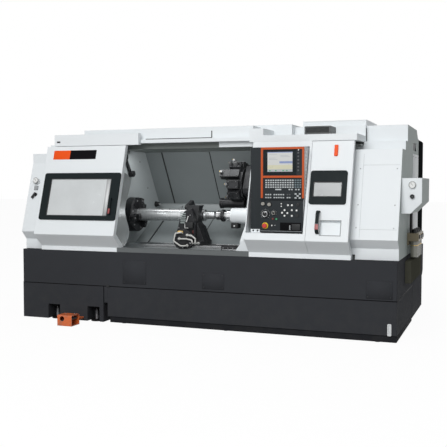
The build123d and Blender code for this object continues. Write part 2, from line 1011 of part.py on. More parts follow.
# Electrical cabinet behind the rear cover, with shallow door leaves on its back
with BuildPart() as electrical_cabinet:
    prism(cabinet_x, base_length, rect(cabinet_front, cabinet_rear, base_top, cabinet_top))
    chamfer(electrical_cabinet.edges().group_by(Axis.Z)[-1], cabinet_chamfer)
    leaf_pitch = (base_length - cabinet_x) / cabinet_doors
    for number in range(cabinet_doors):
        leaf_x = cabinet_x + number * leaf_pitch
        slab(cabinet_rear, cabinet_rear + cabinet_door_thick, rect(
            leaf_x + cabinet_door_margin / 2,
            leaf_x + leaf_pitch - cabinet_door_margin / 2,
            base_top + cabinet_door_margin,
            cabinet_top - cabinet_door_margin,
        ))
    prism(cabinet_x, base_length, rect(shell_rear, cabinet_front, base_top, roof_slope_z - wall))
finish(electrical_cabinet, "electrical_cabinet")

# Slant bed with its two ways, and the headstock casting bored for the spindle
with BuildPart() as bed:
    prism(lining_x, right_shell_x, rect(bed_face_y, bed_rear_y, base_top, bed_top))
    for way_z in (way_low_z, way_high_z):
        prism(lining_x, right_shell_x, rect(bed_face_y - way_size, bed_face_y, way_z, way_z + way_size))
    prism(head_x, head_end, rect(head_front_y, head_rear_y, base_top, head_top))
    bore_radius = spindle_radius + fit_gap
    rod_x(head_x - overrun, head_end + overrun, axis_y, axis_z, bore_radius, Mode.SUBTRACT)
finish(bed, "bed")

# Ways that carry the steady rest and the tailstock, with end stops
with BuildPart() as tail_way:
    for number in range(2):
        way_y = tail_way_front + number * tail_way_pitch
        prism(tail_way_x, tail_way_end, rect(way_y, way_y + tail_way_width, chute_foot_z, tail_way_z))
finish(tail_way, "tail_way")

# Spindle with the chuck actuator at its rear end and the nose flange
with BuildPart() as spindle:
    nose_end = left_shell_length + bulkhead_thick + nose_length
    turn(axis_y, axis_z, [
        (actuator_x, spindle_bore),
        (actuator_x, actuator_radius),
        (actuator_x + actuator_length, actuator_radius),
        (actuator_x + actuator_length, spindle_radius),
        (left_shell_length - nose_length / 2, spindle_radius),
        (left_shell_length - nose_length / 2, nose_radius),
        (nose_end, nose_radius),
        (nose_end, spindle_bore),
    ])
finish(spindle, "spindle")


def jaw_plane(number):
    angle = jaw_first_deg + number * 360 / jaw_count
    out = (0, cos(radians(angle)), sin(radians(angle)))
    side = Vector(1, 0, 0).cross(Vector(*out))
    return Plane(origin=(left_end, base_front + axis_y, axis_z), x_dir=(1, 0, 0), z_dir=side)


# Chuck body with one slot for each jaw
with BuildPart() as chuck:
    turn(axis_y, axis_z, [
        (chuck_x, spindle_bore),
        (chuck_x, chuck_radius),
        (work_x - chuck_edge, chuck_radius),
        (work_x, chuck_radius - chuck_edge),
        (work_x, spindle_bore),
    ])
    for number in range(jaw_count):
        slot_half = jaw_width / 2 + run_gap
        with BuildSketch(jaw_plane(number).offset(-slot_half)) as slot:
            slot_x = work_x - jaw_slot_depth
            Polygon(*turned(rect(slot_x, work_x + overrun, spindle_bore / 2, chuck_radius + overrun)))
        extrude(slot.sketch, amount=2 * slot_half, mode=Mode.SUBTRACT)
finish(chuck, "chuck")

# Stepped chuck jaws
for number in range(jaw_count):
    with BuildPart() as jaw:
        with BuildSketch(jaw_plane(number).offset(-jaw_width / 2)) as outline:
            Polygon(*turned([
                (work_x - jaw_slot_depth + run_gap, work_radius + run_gap),
                (work_x + jaw_reach, work_radius + run_gap),
                (work_x + jaw_reach, jaw_step),
                (work_x + jaw_low, jaw_step),
                (work_x + jaw_low, jaw_outer),
                (work_x - jaw_slot_depth + run_gap, jaw_outer),
            ]))
        extrude(outline.sketch, amount=jaw_width)
    finish(jaw, f"jaw_{number + 1}")

# Turned workpiece between chuck and live centre
with BuildPart() as workpiece:
    collar_x = work_end + collar_gap
    hole_depth = centre_hole_radius / tan(radians(cone_deg / 2))
    turn(axis_y, axis_z, [
        (work_x, 0),
        (work_x, work_radius),
        (work_end, work_radius),
        (work_end, groove_radius),
        (collar_x, groove_radius),
        (collar_x, collar_radius),
        (collar_x + collar_length, collar_radius),
        (collar_x + collar_length, neck_radius),
        (neck_end, neck_radius),
        (neck_end, centre_hole_radius),
        (neck_end - hole_depth, 0),
    ])
finish(workpiece, "workpiece")

# Live centre: cone, body and flange, its shank in the quill
cone_length = cone_radius / tan(radians(cone_deg / 2))
tip_x = neck_end - hole_depth + run_gap / sin(radians(cone_deg / 2))
live_x = tip_x + cone_length
flange_x = live_x + live_length
rear_x = flange_x + live_flange_length
quill_x = rear_x + live_rear_length
with BuildPart() as live_centre:
    turn(axis_y, axis_z, [
        (tip_x, 0),
        (live_x, cone_radius),
        (live_x, live_radius),
        (flange_x, live_radius),
        (flange_x, live_flange_radius),
        (rear_x, live_flange_radius),
        (rear_x, live_radius),
        (quill_x - run_gap, live_radius),
        (quill_x - run_gap, shank_radius),
        (quill_x + shank_length, shank_radius),
        (quill_x + shank_length, 0),
    ])
finish(live_centre, "live_centre")

# Quill, bored for the shank
with BuildPart() as quill:
    turn(axis_y, axis_z, [
        (quill_x, shank_radius + fit_gap),
        (quill_x, quill_radius),
        (quill_x + quill_length, quill_radius),
        (quill_x + quill_length, 0),
        (quill_x + shank_length + run_gap, 0),
        (quill_x + shank_length + run_gap, shank_radius + fit_gap),
    ])
finish(quill, "quill")

# Tailstock: nose and barrel on a leaning web, its foot on the ways
with BuildPart() as tailstock_body:
    nose_x = quill_x + nose_set
    barrel_x = nose_x + barrel_set
    barrel_end = barrel_x + barrel_length
    tail_foot_z = tail_way_z + run_gap
    tail_knee_z = tail_foot_z + tail_foot_height
    rod_x(nose_x, barrel_x, axis_y, axis_z, tail_nose_radius)
    rod_x(barrel_x, barrel_end, axis_y, axis_z, barrel_radius)
    prism(barrel_x, barrel_end, [
        (tail_foot_front, tail_foot_z),
        (tail_foot_front, tail_knee_z),
        (tail_web_front, tail_web_z),
        (tail_web_rear, tail_web_z),
        (tail_foot_rear, tail_knee_z),
        (tail_foot_rear, tail_foot_z),
    ])
    rod_x(nose_x - overrun, barrel_end + overrun, axis_y, axis_z, quill_radius + fit_gap, Mode.SUBTRACT)
finish(tailstock_body, "tailstock_body")


def round_axis(radius, angle):
    return (axis_y + radius * cos(radians(angle)), axis_z + radius * sin(radians(angle)))


# Steady rest: leaning cast body with a throat round the workpiece, roller and drum
roller_out = work_radius + roller_radius + run_gap
arm_back = steady_x - run_gap
arm_front = arm_back - arm_thick
with BuildPart() as steady_body:
    steady_end = steady_x + steady_thick
    steady_foot_z = tail_way_z + run_gap
    steady_knee_z = steady_foot_z + steady_foot_height
    prism(steady_x, steady_end, [
        (steady_front, steady_knee_z),
        (steady_front, steady_neck_z),
        (pin_y - arm_width, steady_top_z),
        (axis_y, steady_top_z),
        (axis_y, steady_knee_z),
    ])
    slab(tail_foot_front, tail_foot_rear, rect(steady_x, steady_foot_end, steady_foot_z, steady_knee_z))
    slab(steady_front, steady_rear, [
        (steady_end, steady_knee_z),
        (steady_foot_end, steady_knee_z),
        (steady_end, steady_neck_z),
    ])
    rod_x(steady_x - overrun, steady_end + overrun, axis_y, axis_z, steady_throat, Mode.SUBTRACT)
    slab(housing_front, steady_front, [(steady_x + x, z) for x, z in housing_outline])
    chamfer(steady_body.faces().filter_by(Axis.Y).sort_by(Axis.Y)[1].edges(), housing_edge)
    rod_y(drum_front, tail_foot_front, drum_x, drum_z, drum_radius)
    rod_y(drum_front - drum_cap_reach, drum_front, drum_x, drum_z, drum_cap_radius)
    slab(tail_foot_front, steady_front, rect(steady_x, steady_end, steady_knee_z, drum_z))
    for sign in (-1, 1):
        rod_x(arm_front - run_gap, steady_x, pin_y, axis_z + sign * pin_drop, pin_radius)
    front_roller = round_axis(roller_out, 180)
    tongue_front = axis_y - steady_throat - overrun
    tongue_rear = axis_y - work_radius - 2 * roller_gap
    tongue_low = axis_z - roller_radius
    prism(steady_x, steady_end, rect(tongue_front, tongue_rear, tongue_low, axis_z + roller_radius))
    rod_x(steady_x - roller_gap, steady_x, *front_roller, pin_radius)
    rod_x(steady_x - roller_gap - roller_length, steady_x - roller_gap, *front_roller, roller_radius)
finish(steady_body, "steady_body")


def steady_arm(sign):
    pin = (pin_y, axis_z + sign * pin_drop)
    roller = round_axis(roller_out, sign * arm_angle)
    knee = round_axis(roller_out + arm_width, sign * (90 + arm_angle) * arm_knee_share)
    with BuildPart() as arm:
        with BuildSketch(across(arm_front)) as link:
            with BuildLine():
                Polyline(pin, knee, roller)
            trace(line_width=arm_width)
            for spot in (pin, knee, roller):
                with Locations(spot):
                    Circle(arm_width / 2)
            with Locations(pin):
                Circle(pin_radius + fit_gap, mode=Mode.SUBTRACT)
            with Locations((axis_y, axis_z)):
                Circle(roller_out - roller_radius + roller_gap, mode=Mode.SUBTRACT)
        extrude(link.sketch, amount=arm_thick)
        rod_x(arm_front - roller_length, arm_front, *roller, roller_radius)
    return arm


# Swinging steady rest arms, above and below the workpiece
steady_arm_upper = steady_arm(1)
finish(steady_arm_upper, "steady_arm_upper")
steady_arm_lower = steady_arm(-1)
finish(steady_arm_lower, "steady_arm_lower")

# Saddle: runner on the bed ways, neck through the slot in the lining, slanted guide block
with BuildPart() as saddle:
    guide_foot = slant(guide_low, -guide_set)
    guide_head = slant(guide_high, -guide_set)
    prism(saddle_x, saddle_x + saddle_length, [
        (guide_foot[0], neck_low),
        guide_foot,
        guide_head,
        (saddle_top_y, guide_head[1]),
        (saddle_back_y, crease_z),
        (saddle_back_y, neck_high),
        (runner_y, neck_high),
        (runner_y, runner_high),
        (bed_face_y - way_size - run_gap, runner_high),
        (bed_face_y - way_size - run_gap, runner_low),
        (runner_y, runner_low),
        (runner_y, neck_low),
    ])
finish(saddle, "saddle")

# Cross slide with the turret housing, bored for the turret hub
with BuildPart() as cross_slide:
    ram_back = -guide_set + run_gap
    prism(saddle_x, saddle_x + saddle_length, [
        slant(-ram_half, ram_back),
        slant(ram_half, ram_back),
        slant(ram_half, ram_front - ram_chamfer),
        slant(ram_half - ram_chamfer, ram_front),
        slant(ram_chamfer - ram_half, ram_front),
        slant(-ram_half, ram_front - ram_chamfer),
    ])
    hub_end = turret_end + hub_length
    rod_x(saddle_x - overrun, hub_end + run_gap, turret_y, turret_z, hub_radius + fit_gap, Mode.SUBTRACT)
finish(cross_slide, "cross_slide")


def station_plane(number, x):
    angle = radians(-90 - number * 360 / turret_sides)
    out = Vector(0, cos(angle), sin(angle))
    centre = Vector(left_end + x, base_front + turret_y, turret_z)
    return Plane(origin=centre + out * turret_apothem, x_dir=(1, 0, 0), z_dir=out)


def bore_plane(number):
    base = station_plane(number, boring_x)
    return Plane(origin=base.origin, x_dir=base.z_dir, z_dir=(1, 0, 0))


# Turret: a polygonal disc with a face ring, and the hub behind it
with BuildPart() as turret_disc:
    with BuildSketch(across(turret_x)) as disc:
        with Locations((turret_y, turret_z)):
            RegularPolygon(turret_apothem, turret_sides, major_radius=False, rotation=180 / turret_sides)
    extrude(disc.sketch, amount=turret_thick)
    chamfer(turret_disc.faces().sort_by(Axis.X)[0].edges(), holder_chamfer)
    rod_x(turret_x - holder_chamfer, turret_x, turret_y, turret_z, turret_apothem / 2)
    rod_x(turret_end, turret_end + hub_length, turret_y, turret_z, hub_radius)
finish(turret_disc, "turret_disc")

# Tool holders on the turret flats: bored blocks, square tool blocks and blanks
with BuildPart() as tool_holders:
    middle_x = turret_thick / 2
    for number in boring_stations:
        base = station_plane(number, 0)
        with BuildSketch(base) as foot:
            with Locations((turret_x + middle_x, 0)):
                Rectangle(holder_length, holder_width)
        extrude(foot.sketch, amount=boring_set)
        with BuildSketch(bore_plane(number)) as barrel:
            with Locations((boring_set, 0)):
                Circle(boring_radius)
        extrude(barrel.sketch, amount=boring_end - boring_x)
        with BuildSketch(bore_plane(number)) as collar:
            with Locations((boring_set, 0)):
                Circle(boring_collar)
        extrude(collar.sketch, amount=boring_collar_length)
        relief_x = turret_x - run_gap
        with BuildSketch(base.offset(-boring_radius)) as relief:
            with Locations(((relief_x + boring_end + overrun) / 2, 0)):
                Rectangle(boring_end + overrun - relief_x, 2 * boring_radius)
        extrude(relief.sketch, amount=boring_radius, mode=Mode.SUBTRACT)
    for number in tool_stations:
        with BuildSketch(station_plane(number, 0)) as block:
            with Locations((turret_x + middle_x, 0)):
                RectangleRounded(holder_length, holder_width, holder_chamfer)
        extrude(block.sketch, amount=holder_height)
    for number in reach_stations:
        with BuildSketch(station_plane(number, 0)) as block:
            with Locations((turret_x + middle_x - holder_reach / 2, 0)):
                RectangleRounded(holder_length + holder_reach, holder_width, holder_chamfer)
        extrude(block.sketch, amount=holder_height)
    for number in blank_stations:
        with BuildSketch(station_plane(number, 0)) as blank:
            with Locations((turret_x + middle_x, 0)):
                RectangleRounded(holder_length, holder_width, holder_chamfer)
        extrude(blank.sketch, amount=blank_height)
finish(tool_holders, "tool_holders")

# Cutting tools: square shanks on the tool blocks and bars in the bored holders
with BuildPart() as cutting_tools:
    for number in tool_stations:
        with BuildSketch(station_plane(number, 0).offset(holder_height)) as shank:
            with Locations((turret_x + shank_side, 0)):
                Rectangle(shank_size, shank_size)
        extrude(shank.sketch, amount=shank_reach)
    for number in reach_stations:
        with BuildSketch(station_plane(number, 0).offset(holder_height)) as shank:
            with Locations((turret_x - holder_reach / 2, 0)):
                Rectangle(shank_size, shank_size)
        extrude(shank.sketch, amount=shank_reach)
    with BuildSketch(station_plane(sleeve_station, 0).offset(holder_height)) as sleeve:
        with Locations((turret_x + middle_x, 0)):
            Circle(sleeve_radius)
    extrude(sleeve.sketch, amount=sleeve_reach)
    for number in boring_stations:
        with BuildSketch(bore_plane(number)) as bar:
            with Locations((boring_set, 0)):
                Circle(boring_bar_radius)
        extrude(bar.sketch, amount=-boring_bar_reach)
finish(cutting_tools, "cutting_tools")

# Tool setter: a swinging arm with a probe head on the bulkhead
with BuildPart() as tool_setter:
    setter_x = lining_x + run_gap
    rod_x(setter_x, setter_x + setter_boss_length, setter_y, setter_z, setter_boss_radius)
    arm_angle_rad = radians(setter_deg)
    head_y = setter_y + setter_arm_length * cos(arm_angle_rad)
    head_z = setter_z + setter_arm_length * sin(arm_angle_rad)
    with BuildSketch(across(setter_x)) as arm_sketch:
        with BuildLine():
            Line((setter_y, setter_z), (head_y, head_z))
        trace(line_width=setter_arm_width)
    extrude(arm_sketch.sketch, amount=setter_arm_thick)
    with BuildSketch(across(setter_x)) as head_sketch:
        with Locations(Location((head_y, head_z), setter_deg)):
            RectangleRounded(setter_head, setter_head, setter_round_share * setter_head)
    extrude(head_sketch.sketch, amount=setter_boss_length * 2)
finish(tool_setter, "tool_setter")


def window_frame(x, s, length, height, glass_x, glass_s, glass_length, glass_height):
    with BuildSketch(leaning(0)) as ring:
        with Locations((x + length / 2, s + height / 2)):
            RectangleRounded(length, height, frame_radius)
        with Locations((glass_x + glass_length / 2, glass_s + glass_height / 2)):
            RectangleRounded(glass_length, glass_height, frame_radius / 2, mode=Mode.SUBTRACT)
    extrude(ring.sketch, amount=frame_thick)


def door_leaf(x, length, glass_x, glass_s, glass_length, glass_height):
    prism(x, x + length, folded(0, door_thick, sill_top + run_gap, door_top))
    margin = glass_lap + glass_gap
    cut = rect(
        glass_x - margin,
        glass_x + glass_length + margin,
        glass_s - margin,
        glass_s + glass_height + margin,
    )
    raised(door_thick + overrun, door_thick + 2 * overrun, cut, Mode.SUBTRACT)


def pane(glass_x, glass_s, glass_length, glass_height):
    outline = rect(
        glass_x - glass_lap,
        glass_x + glass_length + glass_lap,
        glass_s - glass_lap,
        glass_s + glass_height + glass_lap,
    )
    raised(glass_thick, glass_thick, outline)


left_glass = (left_glass_x, left_glass_s, left_glass_length, left_glass_height)
tail_glass = (tail_door_x + tail_glass_x, tail_glass_s, tail_glass_length, tail_glass_height)

# Left door, its window frame with the grip, and its pane
with BuildPart() as left_door:
    door_leaf(left_door_x, left_door_length, *left_glass)
    fillet(left_door.edges().filter_by(Axis.X).group_by(Axis.Y)[0], edge_radius)
finish(left_door, "left_door")

with BuildPart() as left_window_frame:
    window_frame(left_frame_x, left_frame_s, left_frame_length, left_frame_height, *left_glass)
    grip_end = grip_s + grip_height
    grip_side = grip_x + grip_width
    for post_s in (grip_s, grip_end - grip_thick):
        raised(-frame_thick, grip_reach - grip_thick, rect(grip_x, grip_side, post_s, post_s + grip_thick))
    raised(-frame_thick - grip_reach + grip_thick, grip_thick, rect(grip_x, grip_side, grip_s, grip_end))
finish(left_window_frame, "left_window_frame")

with BuildPart() as left_window_glass:
    pane(*left_glass)
finish(left_window_glass, "left_window_glass")

# Splash wing: the deep stainless cheek behind the leading edge of the left door
with BuildPart() as door_wing:
    wing_x = left_door_end - wing_thick
    fold = (lean_y(door_thick, fold_z(door_thick)), fold_z(door_thick))
    head = (lean_y(door_thick, wing_high_z), wing_high_z)
    toe = (under_y(door_thick, wing_tip_z), wing_tip_z)
    with BuildSketch(across(wing_x)):
        with BuildLine():
            Polyline(head, fold, toe, (wing_tip_y, wing_tip_z))
            Spline(
                (wing_tip_y, wing_tip_z),
                (wing_lobe_y, wing_lobe_z),
                (wing_neck_y, wing_neck_z),
                (wing_top_y, wing_top_z),
                head,
            )
        make_face()
    extrude(amount=wing_thick)
finish(door_wing, "door_wing")

# Trailing door leaf, hung from the header rail behind the left door
with BuildPart() as inner_door:
    inner_t = door_thick + inner_gap
    inner_outline = folded(inner_t, inner_t + inner_thick, inner_bottom, rail_bottom - run_gap)
    prism(inner_x, inner_x + inner_length, inner_outline)
finish(inner_door, "inner_door")

# Tailstock-side door with its pocket, frame, pane, handle and lamp
with BuildPart() as tail_door:
    door_leaf(tail_door_x, tail_door_length, *tail_glass)
    fillet(tail_door.edges().filter_by(Axis.X).group_by(Axis.Y)[0], edge_radius)
    pocket_left = tail_door_x + pocket_x
    pocket_outline = rect(pocket_left, pocket_left + pocket_length, pocket_s, pocket_s + pocket_height)
    raised(pocket_depth, pocket_depth + overrun, pocket_outline, Mode.SUBTRACT)
finish(tail_door, "tail_door")

with BuildPart() as tail_window_frame:
    tail_frame_x = tail_door_x + tail_frame_inset
    window_frame(tail_frame_x, tail_frame_s, tail_frame_length, tail_frame_height, *tail_glass)
finish(tail_window_frame, "tail_window_frame")

with BuildPart() as tail_window_glass:
    pane(*tail_glass)
finish(tail_window_glass, "tail_window_glass")

with BuildPart() as tail_handle:
    handle_x = tail_door_x + tail_handle_x
    bow_plane = Plane(
        origin=leaning(0).from_local_coords((handle_x, tail_handle_s, 0)),
        x_dir=leaning(0).y_dir,
        z_dir=(1, 0, 0),
    )
    inner_reach = tail_handle_reach - tail_handle_thick
    inner_height = tail_handle_height - 2 * tail_handle_thick
    with BuildSketch(bow_plane) as bow:
        with Locations((tail_handle_height / 2, 0)):
            RectangleRounded(tail_handle_height, 2 * tail_handle_reach, tail_handle_radius)
            inner_radius = tail_handle_radius - tail_handle_thick
            RectangleRounded(inner_height, 2 * inner_reach, inner_radius, mode=Mode.SUBTRACT)
        with Locations((tail_handle_height / 2, -tail_handle_reach)):
            Rectangle(2 * tail_handle_height, 2 * tail_handle_reach, mode=Mode.SUBTRACT)
    extrude(bow.sketch, amount=tail_handle_width)
finish(tail_handle, "tail_handle")

with BuildPart() as alarm_lamp:
    with BuildSketch(leaning(0)) as lens:
        with Locations((tail_door_x + lamp_x + lamp_length / 2, lamp_s + lamp_height / 2)):
            RectangleRounded(lamp_length, lamp_height, lamp_thick / 2)
    extrude(lens.sketch, amount=lamp_thick)
    chamfer(alarm_lamp.faces().sort_by(Axis.Y)[0].edges(), lamp_chamfer_share * lamp_thick)
finish(alarm_lamp, "alarm_lamp")

# Console box in the tub, its lower part standing forward
console_top = console_bottom + console_height
lower_front = console_front - console_lower_reach
lower_top = console_bottom + console_lower_height
with BuildPart() as console_box:
    slab(console_front, tub_back, rect(console_x, console_end, console_bottom, console_top))
    slab(lower_front, console_front, rect(console_x, console_end, console_bottom, lower_top))
    fillet(console_box.edges().filter_by(Axis.Y).group_by(Axis.Z)[0].sort_by(Axis.X)[-1], console_corner)
    slab(console_front + shoulder_step, tub_back, rect(shoulder_x, console_x, shoulder_bottom, console_top))
    chamfer(console_box.edges().filter_by(Axis.X).group_by(Axis.Y)[0].sort_by(Axis.Z)[-1], console_chamfer)
    rod_y(lower_front - post_length, lower_front, wheel_x, wheel_z, post_radius)
    rod_y(lower_front - post_length, lower_front, dial_x, dial_z, post_radius)
    stem_bore = estop_stem + fit_gap
    rod_y(lower_front - overrun, lower_front + estop_reach, estop_x, estop_z, stem_bore, Mode.SUBTRACT)
finish(console_box, "console_box")

# Coloured trims round the screen and beside the keyboard
with BuildPart() as console_trim:
    trim_front = console_front - trim_thick
    trim_right = console_end - trim_width
    slab(trim_front, console_front, rect(console_x, console_end, console_top - trim_width, console_top))
    trim_low = trim_mid_z - trim_width / 2
    slab(trim_front, console_front, rect(console_x, console_end, trim_low, trim_low + trim_width))
    for trim_x in (console_x, trim_right):
        slab(trim_front, console_front, rect(trim_x, trim_x + trim_width, trim_low_z, console_top))
finish(console_trim, "console_trim")

with BuildPart() as screen:
    slab(console_front - screen_thick, console_front, rect(
        screen_x, screen_x + screen_length, screen_z, screen_z + screen_height,
    ))
    chamfer(screen.faces().sort_by(Axis.Y)[0].edges(), screen_thick / 2)
finish(screen, "screen")

# Keyboard rows, soft keys and the round push keys
with BuildPart() as console_keys:
    key_centre = console_x + console_length / 2
    with BuildSketch(facing(console_front)) as key_sketch:
        with Locations((key_centre, key_z)):
            with GridLocations(key_pitch_x, key_pitch_z, key_columns, key_rows):
                Rectangle(key_width, key_height)
        with Locations((key_centre, soft_z)):
            with GridLocations(soft_pitch_x, key_pitch_z, soft_columns, 2):
                Rectangle(key_width, key_height)
    extrude(key_sketch.sketch, amount=key_thick)
    with BuildSketch(facing(lower_front)) as round_sketch:
        with Locations((round_x, round_z)):
            with GridLocations(round_pitch, round_pitch, round_columns, 2):
                RegularPolygon(round_radius, 8)
    extrude(round_sketch.sketch, amount=key_thick)
finish(console_keys, "console_keys")

# Emergency stop: mushroom head on a stem that travels into the console
with BuildPart() as estop_button:
    rod_y(lower_front - estop_reach, lower_front - estop_reach / 2, estop_x, estop_z, estop_radius)
    chamfer(estop_button.faces().sort_by(Axis.Y)[0].edges(), estop_stem / 2)
    rod_y(lower_front - estop_reach / 2, lower_front + estop_stem, estop_x, estop_z, estop_stem)
finish(estop_button, "estop_button")


def knurled(x, z, radius, thick, name):
    with BuildPart() as knob:
        with BuildSketch(facing(lower_front - run_gap)) as outline:
            with Locations((x, z)):
                RegularPolygon(radius, knob_sides)
                Circle(post_radius + fit_gap, mode=Mode.SUBTRACT)
        extrude(outline.sketch, amount=thick)
        chamfer(knob.faces().sort_by(Axis.Y)[0].outer_wire().edges(), knob_chamfer_share * thick)
    finish(knob, name)


knurled(wheel_x, wheel_z, wheel_radius, wheel_thick, "handwheel")
knurled(dial_x, dial_z, dial_radius, dial_thick, "feed_dial")

# Gauge box on the right end, its lower outer corner cut off
box_end = base_length + side_reach
with BuildPart() as gauge_box:
    slab(box_y, box_y + box_depth, [
        (base_length, box_bottom),
        (box_end - box_cut, box_bottom),
        (box_end, box_bottom + box_cut),
        (box_end, box_top),
        (base_length, box_top),
    ])
    rod_y(box_y - post_length, box_y, base_length + side_gauge_x, side_knob_z, post_radius)
finish(gauge_box, "gauge_box")

with BuildPart() as gauge_knob:
    with BuildSketch(facing(box_y - run_gap)) as outline:
        with Locations((base_length + side_gauge_x, side_knob_z)):
            RegularPolygon(knob_radius, 12)
            Circle(post_radius + fit_gap, mode=Mode.SUBTRACT)
    extrude(outline.sketch, amount=knob_thick)
    chamfer(gauge_knob.faces().sort_by(Axis.Y)[0].outer_wire().edges(), knob_chamfer_share * knob_thick)
finish(gauge_knob, "gauge_knob")

# Pressure gauges, with the switch and lever beside the left one
with BuildPart() as pressure_gauges:
    rod_y(box_y - dial_case_thick, box_y, base_length + side_gauge_x, side_gauge_z, dial_case_radius)

    def shell_spot(z):
        s = (z - face_z + shell_face_set * sin(radians(lean))) / lean_cos
        return (left_gauge_x, s)

    with BuildSketch(leaning(shell_face_set)) as dial:
        with Locations(shell_spot(left_gauge_z)):
            Circle(dial_case_radius)
        with Locations(shell_spot(left_switch_z)):
            Rectangle(left_switch_size, left_switch_size)
        with Locations(shell_spot(left_lever_z)):
            Circle(knob_radius)
    extrude(dial.sketch, amount=dial_case_thick)
    with BuildSketch(leaning(shell_face_set - dial_case_thick)) as lever:
        with Locations(Location(shell_spot(left_lever_z), lean + undercut)):
            with Locations((-lever_pivot_share * left_lever_length, 0)):
                SlotOverall(left_lever_length, knob_radius)
    extrude(lever.sketch, amount=dial_case_thick)
finish(pressure_gauges, "pressure_gauges")

# Air preparation unit with its pipe, and the flat box on the base under it
with BuildPart() as air_unit:
    air_x = base_length + air_bracket + air_width / 2
    air_end = air_y + air_pitch * air_count
    air_low = air_top - air_body
    prism(base_length, base_length + air_bracket, rect(air_y, air_end, air_low, air_top))
    for number in range(air_count):
        unit_y = air_y + (number + 1 / 2) * air_pitch
        prism(base_length + air_bracket, base_length + air_bracket + air_width, rect(
            unit_y - air_pitch / 2, unit_y + air_pitch / 2, air_low + air_neck_share * air_body, air_top,
        ))
        rod_z(air_low - bowl_length, air_low + air_neck_share * air_body, air_x, unit_y, bowl_radius)
    rod_z(air_top, box_bottom, base_length + air_bracket + pipe_radius, air_y + air_pitch / 2, pipe_radius)
    prism(base_length, base_length + air_box_depth, rect(
        air_box_y, air_box_y + air_box_length, air_box_bottom, air_box_bottom + air_box_height,
    ))
finish(air_unit, "air_unit")

# Foot switch: guard with side opening, its treadle, and the bracket to the base
guard_left = guard_right - guard_length
guard_front = -pedal_reach
guard_rear = guard_front + guard_depth
with BuildPart() as pedal_guard:
    prism(guard_left, guard_right, rect(guard_front, guard_rear, 0, guard_height))
    fillet(pedal_guard.edges().filter_by(Axis.X).group_by(Axis.Z)[-1], guard_round_share * guard_height)
    inner_front = guard_front + guard_wall
    inner_rear = guard_rear - guard_wall
    prism(guard_left + guard_wall, guard_right + overrun, rect(
        inner_front, inner_rear, guard_wall, guard_height - guard_wall,
    ), Mode.SUBTRACT)
    hole_x = guard_left + hole_across_share * guard_length
    hole_z = hole_up_share * guard_height
    rod_y(guard_front - overrun, inner_front, hole_x, hole_z, guard_hole_radius, Mode.SUBTRACT)
    pin_x = guard_left + treadle_pin_set
    rod_y(inner_front, inner_rear, pin_x, treadle_z, treadle_pin)
    bracket_x = guard_left + guard_length / 2 - bracket_width / 2
    bracket_outline = rect(guard_rear, 0, skirt_bottom, skirt_bottom + bracket_thick)
    prism(bracket_x, bracket_x + bracket_width, bracket_outline)
finish(pedal_guard, "pedal_guard")

with BuildPart() as pedal_treadle:
    tilt = Plane(
        origin=(left_end + pin_x, base_front + (guard_front + guard_rear) / 2, treadle_z),
        x_dir=(cos(radians(treadle_deg)), 0, sin(radians(treadle_deg))),
        z_dir=(0, -1, 0),
    )
    with BuildSketch(tilt.offset(-treadle_width / 2)) as tread:
        with Locations((treadle_length / 2, 0)):
            SlotOverall(treadle_length + treadle_overlap, treadle_boss)
        Circle(treadle_pin + fit_gap, mode=Mode.SUBTRACT)
    extrude(tread.sketch, amount=treadle_width)
finish(pedal_treadle, "pedal_treadle")

# Steady rest hoses: looped in front of the drum, each end in a fitting
with BuildPart() as steady_hoses:
    hose_y = drum_front - drum_cap_reach - fitting_length
    cap_y = drum_front - drum_cap_reach
    for shares in hose_shares:
        points = []
        for across_share, up_share in shares:
            points.append((drum_x + across_share * drum_radius, drum_z + up_share * drum_radius, -hose_y))
        seats = []
        for end in (points[0], points[-1]):
            reach = ((end[0] - drum_x) ** 2 + (end[1] - drum_z) ** 2) ** (1 / 2)
            seat_y = cap_y if reach < drum_cap_radius else drum_front
            seat_y = seat_y if reach < drum_radius else tail_foot_front
            seats.append((end[0], end[1], -seat_y))
        with BuildLine(facing(0)) as path:
            FilletPolyline(seats[0], *points, seats[1], radius=hose_bend)
        with BuildSketch(Plane(origin=path.line @ 0, z_dir=path.line % 0)) as ring:
            RegularPolygon(hose_radius, hose_sides)
        sweep(ring.sketch, path=path.line)
        for seat in seats:
            rod_y(-seat[2] - fitting_radius, -seat[2], seat[0], seat[1], fitting_radius)
finish(steady_hoses, "steady_hoses")
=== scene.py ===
import bmesh
import bpy
import json
import math
from mathutils import Matrix, Vector


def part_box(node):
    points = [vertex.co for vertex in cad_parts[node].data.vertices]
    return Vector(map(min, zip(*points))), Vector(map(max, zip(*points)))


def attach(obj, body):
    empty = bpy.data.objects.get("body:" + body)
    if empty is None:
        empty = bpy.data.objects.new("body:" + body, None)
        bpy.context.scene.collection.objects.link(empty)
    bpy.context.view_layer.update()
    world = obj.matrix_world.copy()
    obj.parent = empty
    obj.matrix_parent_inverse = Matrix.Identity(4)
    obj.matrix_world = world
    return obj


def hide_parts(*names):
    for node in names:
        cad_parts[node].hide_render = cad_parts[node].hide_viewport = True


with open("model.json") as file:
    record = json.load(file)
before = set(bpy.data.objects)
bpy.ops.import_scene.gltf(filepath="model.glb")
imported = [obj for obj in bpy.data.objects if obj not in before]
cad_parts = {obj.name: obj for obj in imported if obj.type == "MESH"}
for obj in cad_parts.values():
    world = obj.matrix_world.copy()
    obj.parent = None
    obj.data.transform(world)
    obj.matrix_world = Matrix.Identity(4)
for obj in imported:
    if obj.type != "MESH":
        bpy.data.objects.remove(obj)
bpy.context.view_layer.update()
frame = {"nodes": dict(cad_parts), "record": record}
nodes = frame["nodes"]
slotOf = {entry["node"]: entry["material_slot"] for entry in frame["record"]["subparts"]}
print("frame loaded")

# Camera

cameraSizes = {
    "place": (2.784, -7.719, 1.424),
    "yawDeg": 20.63,
    "pitchDeg": -2.91,
    "lens": 59.55,
    "sensor": 36.0,
}


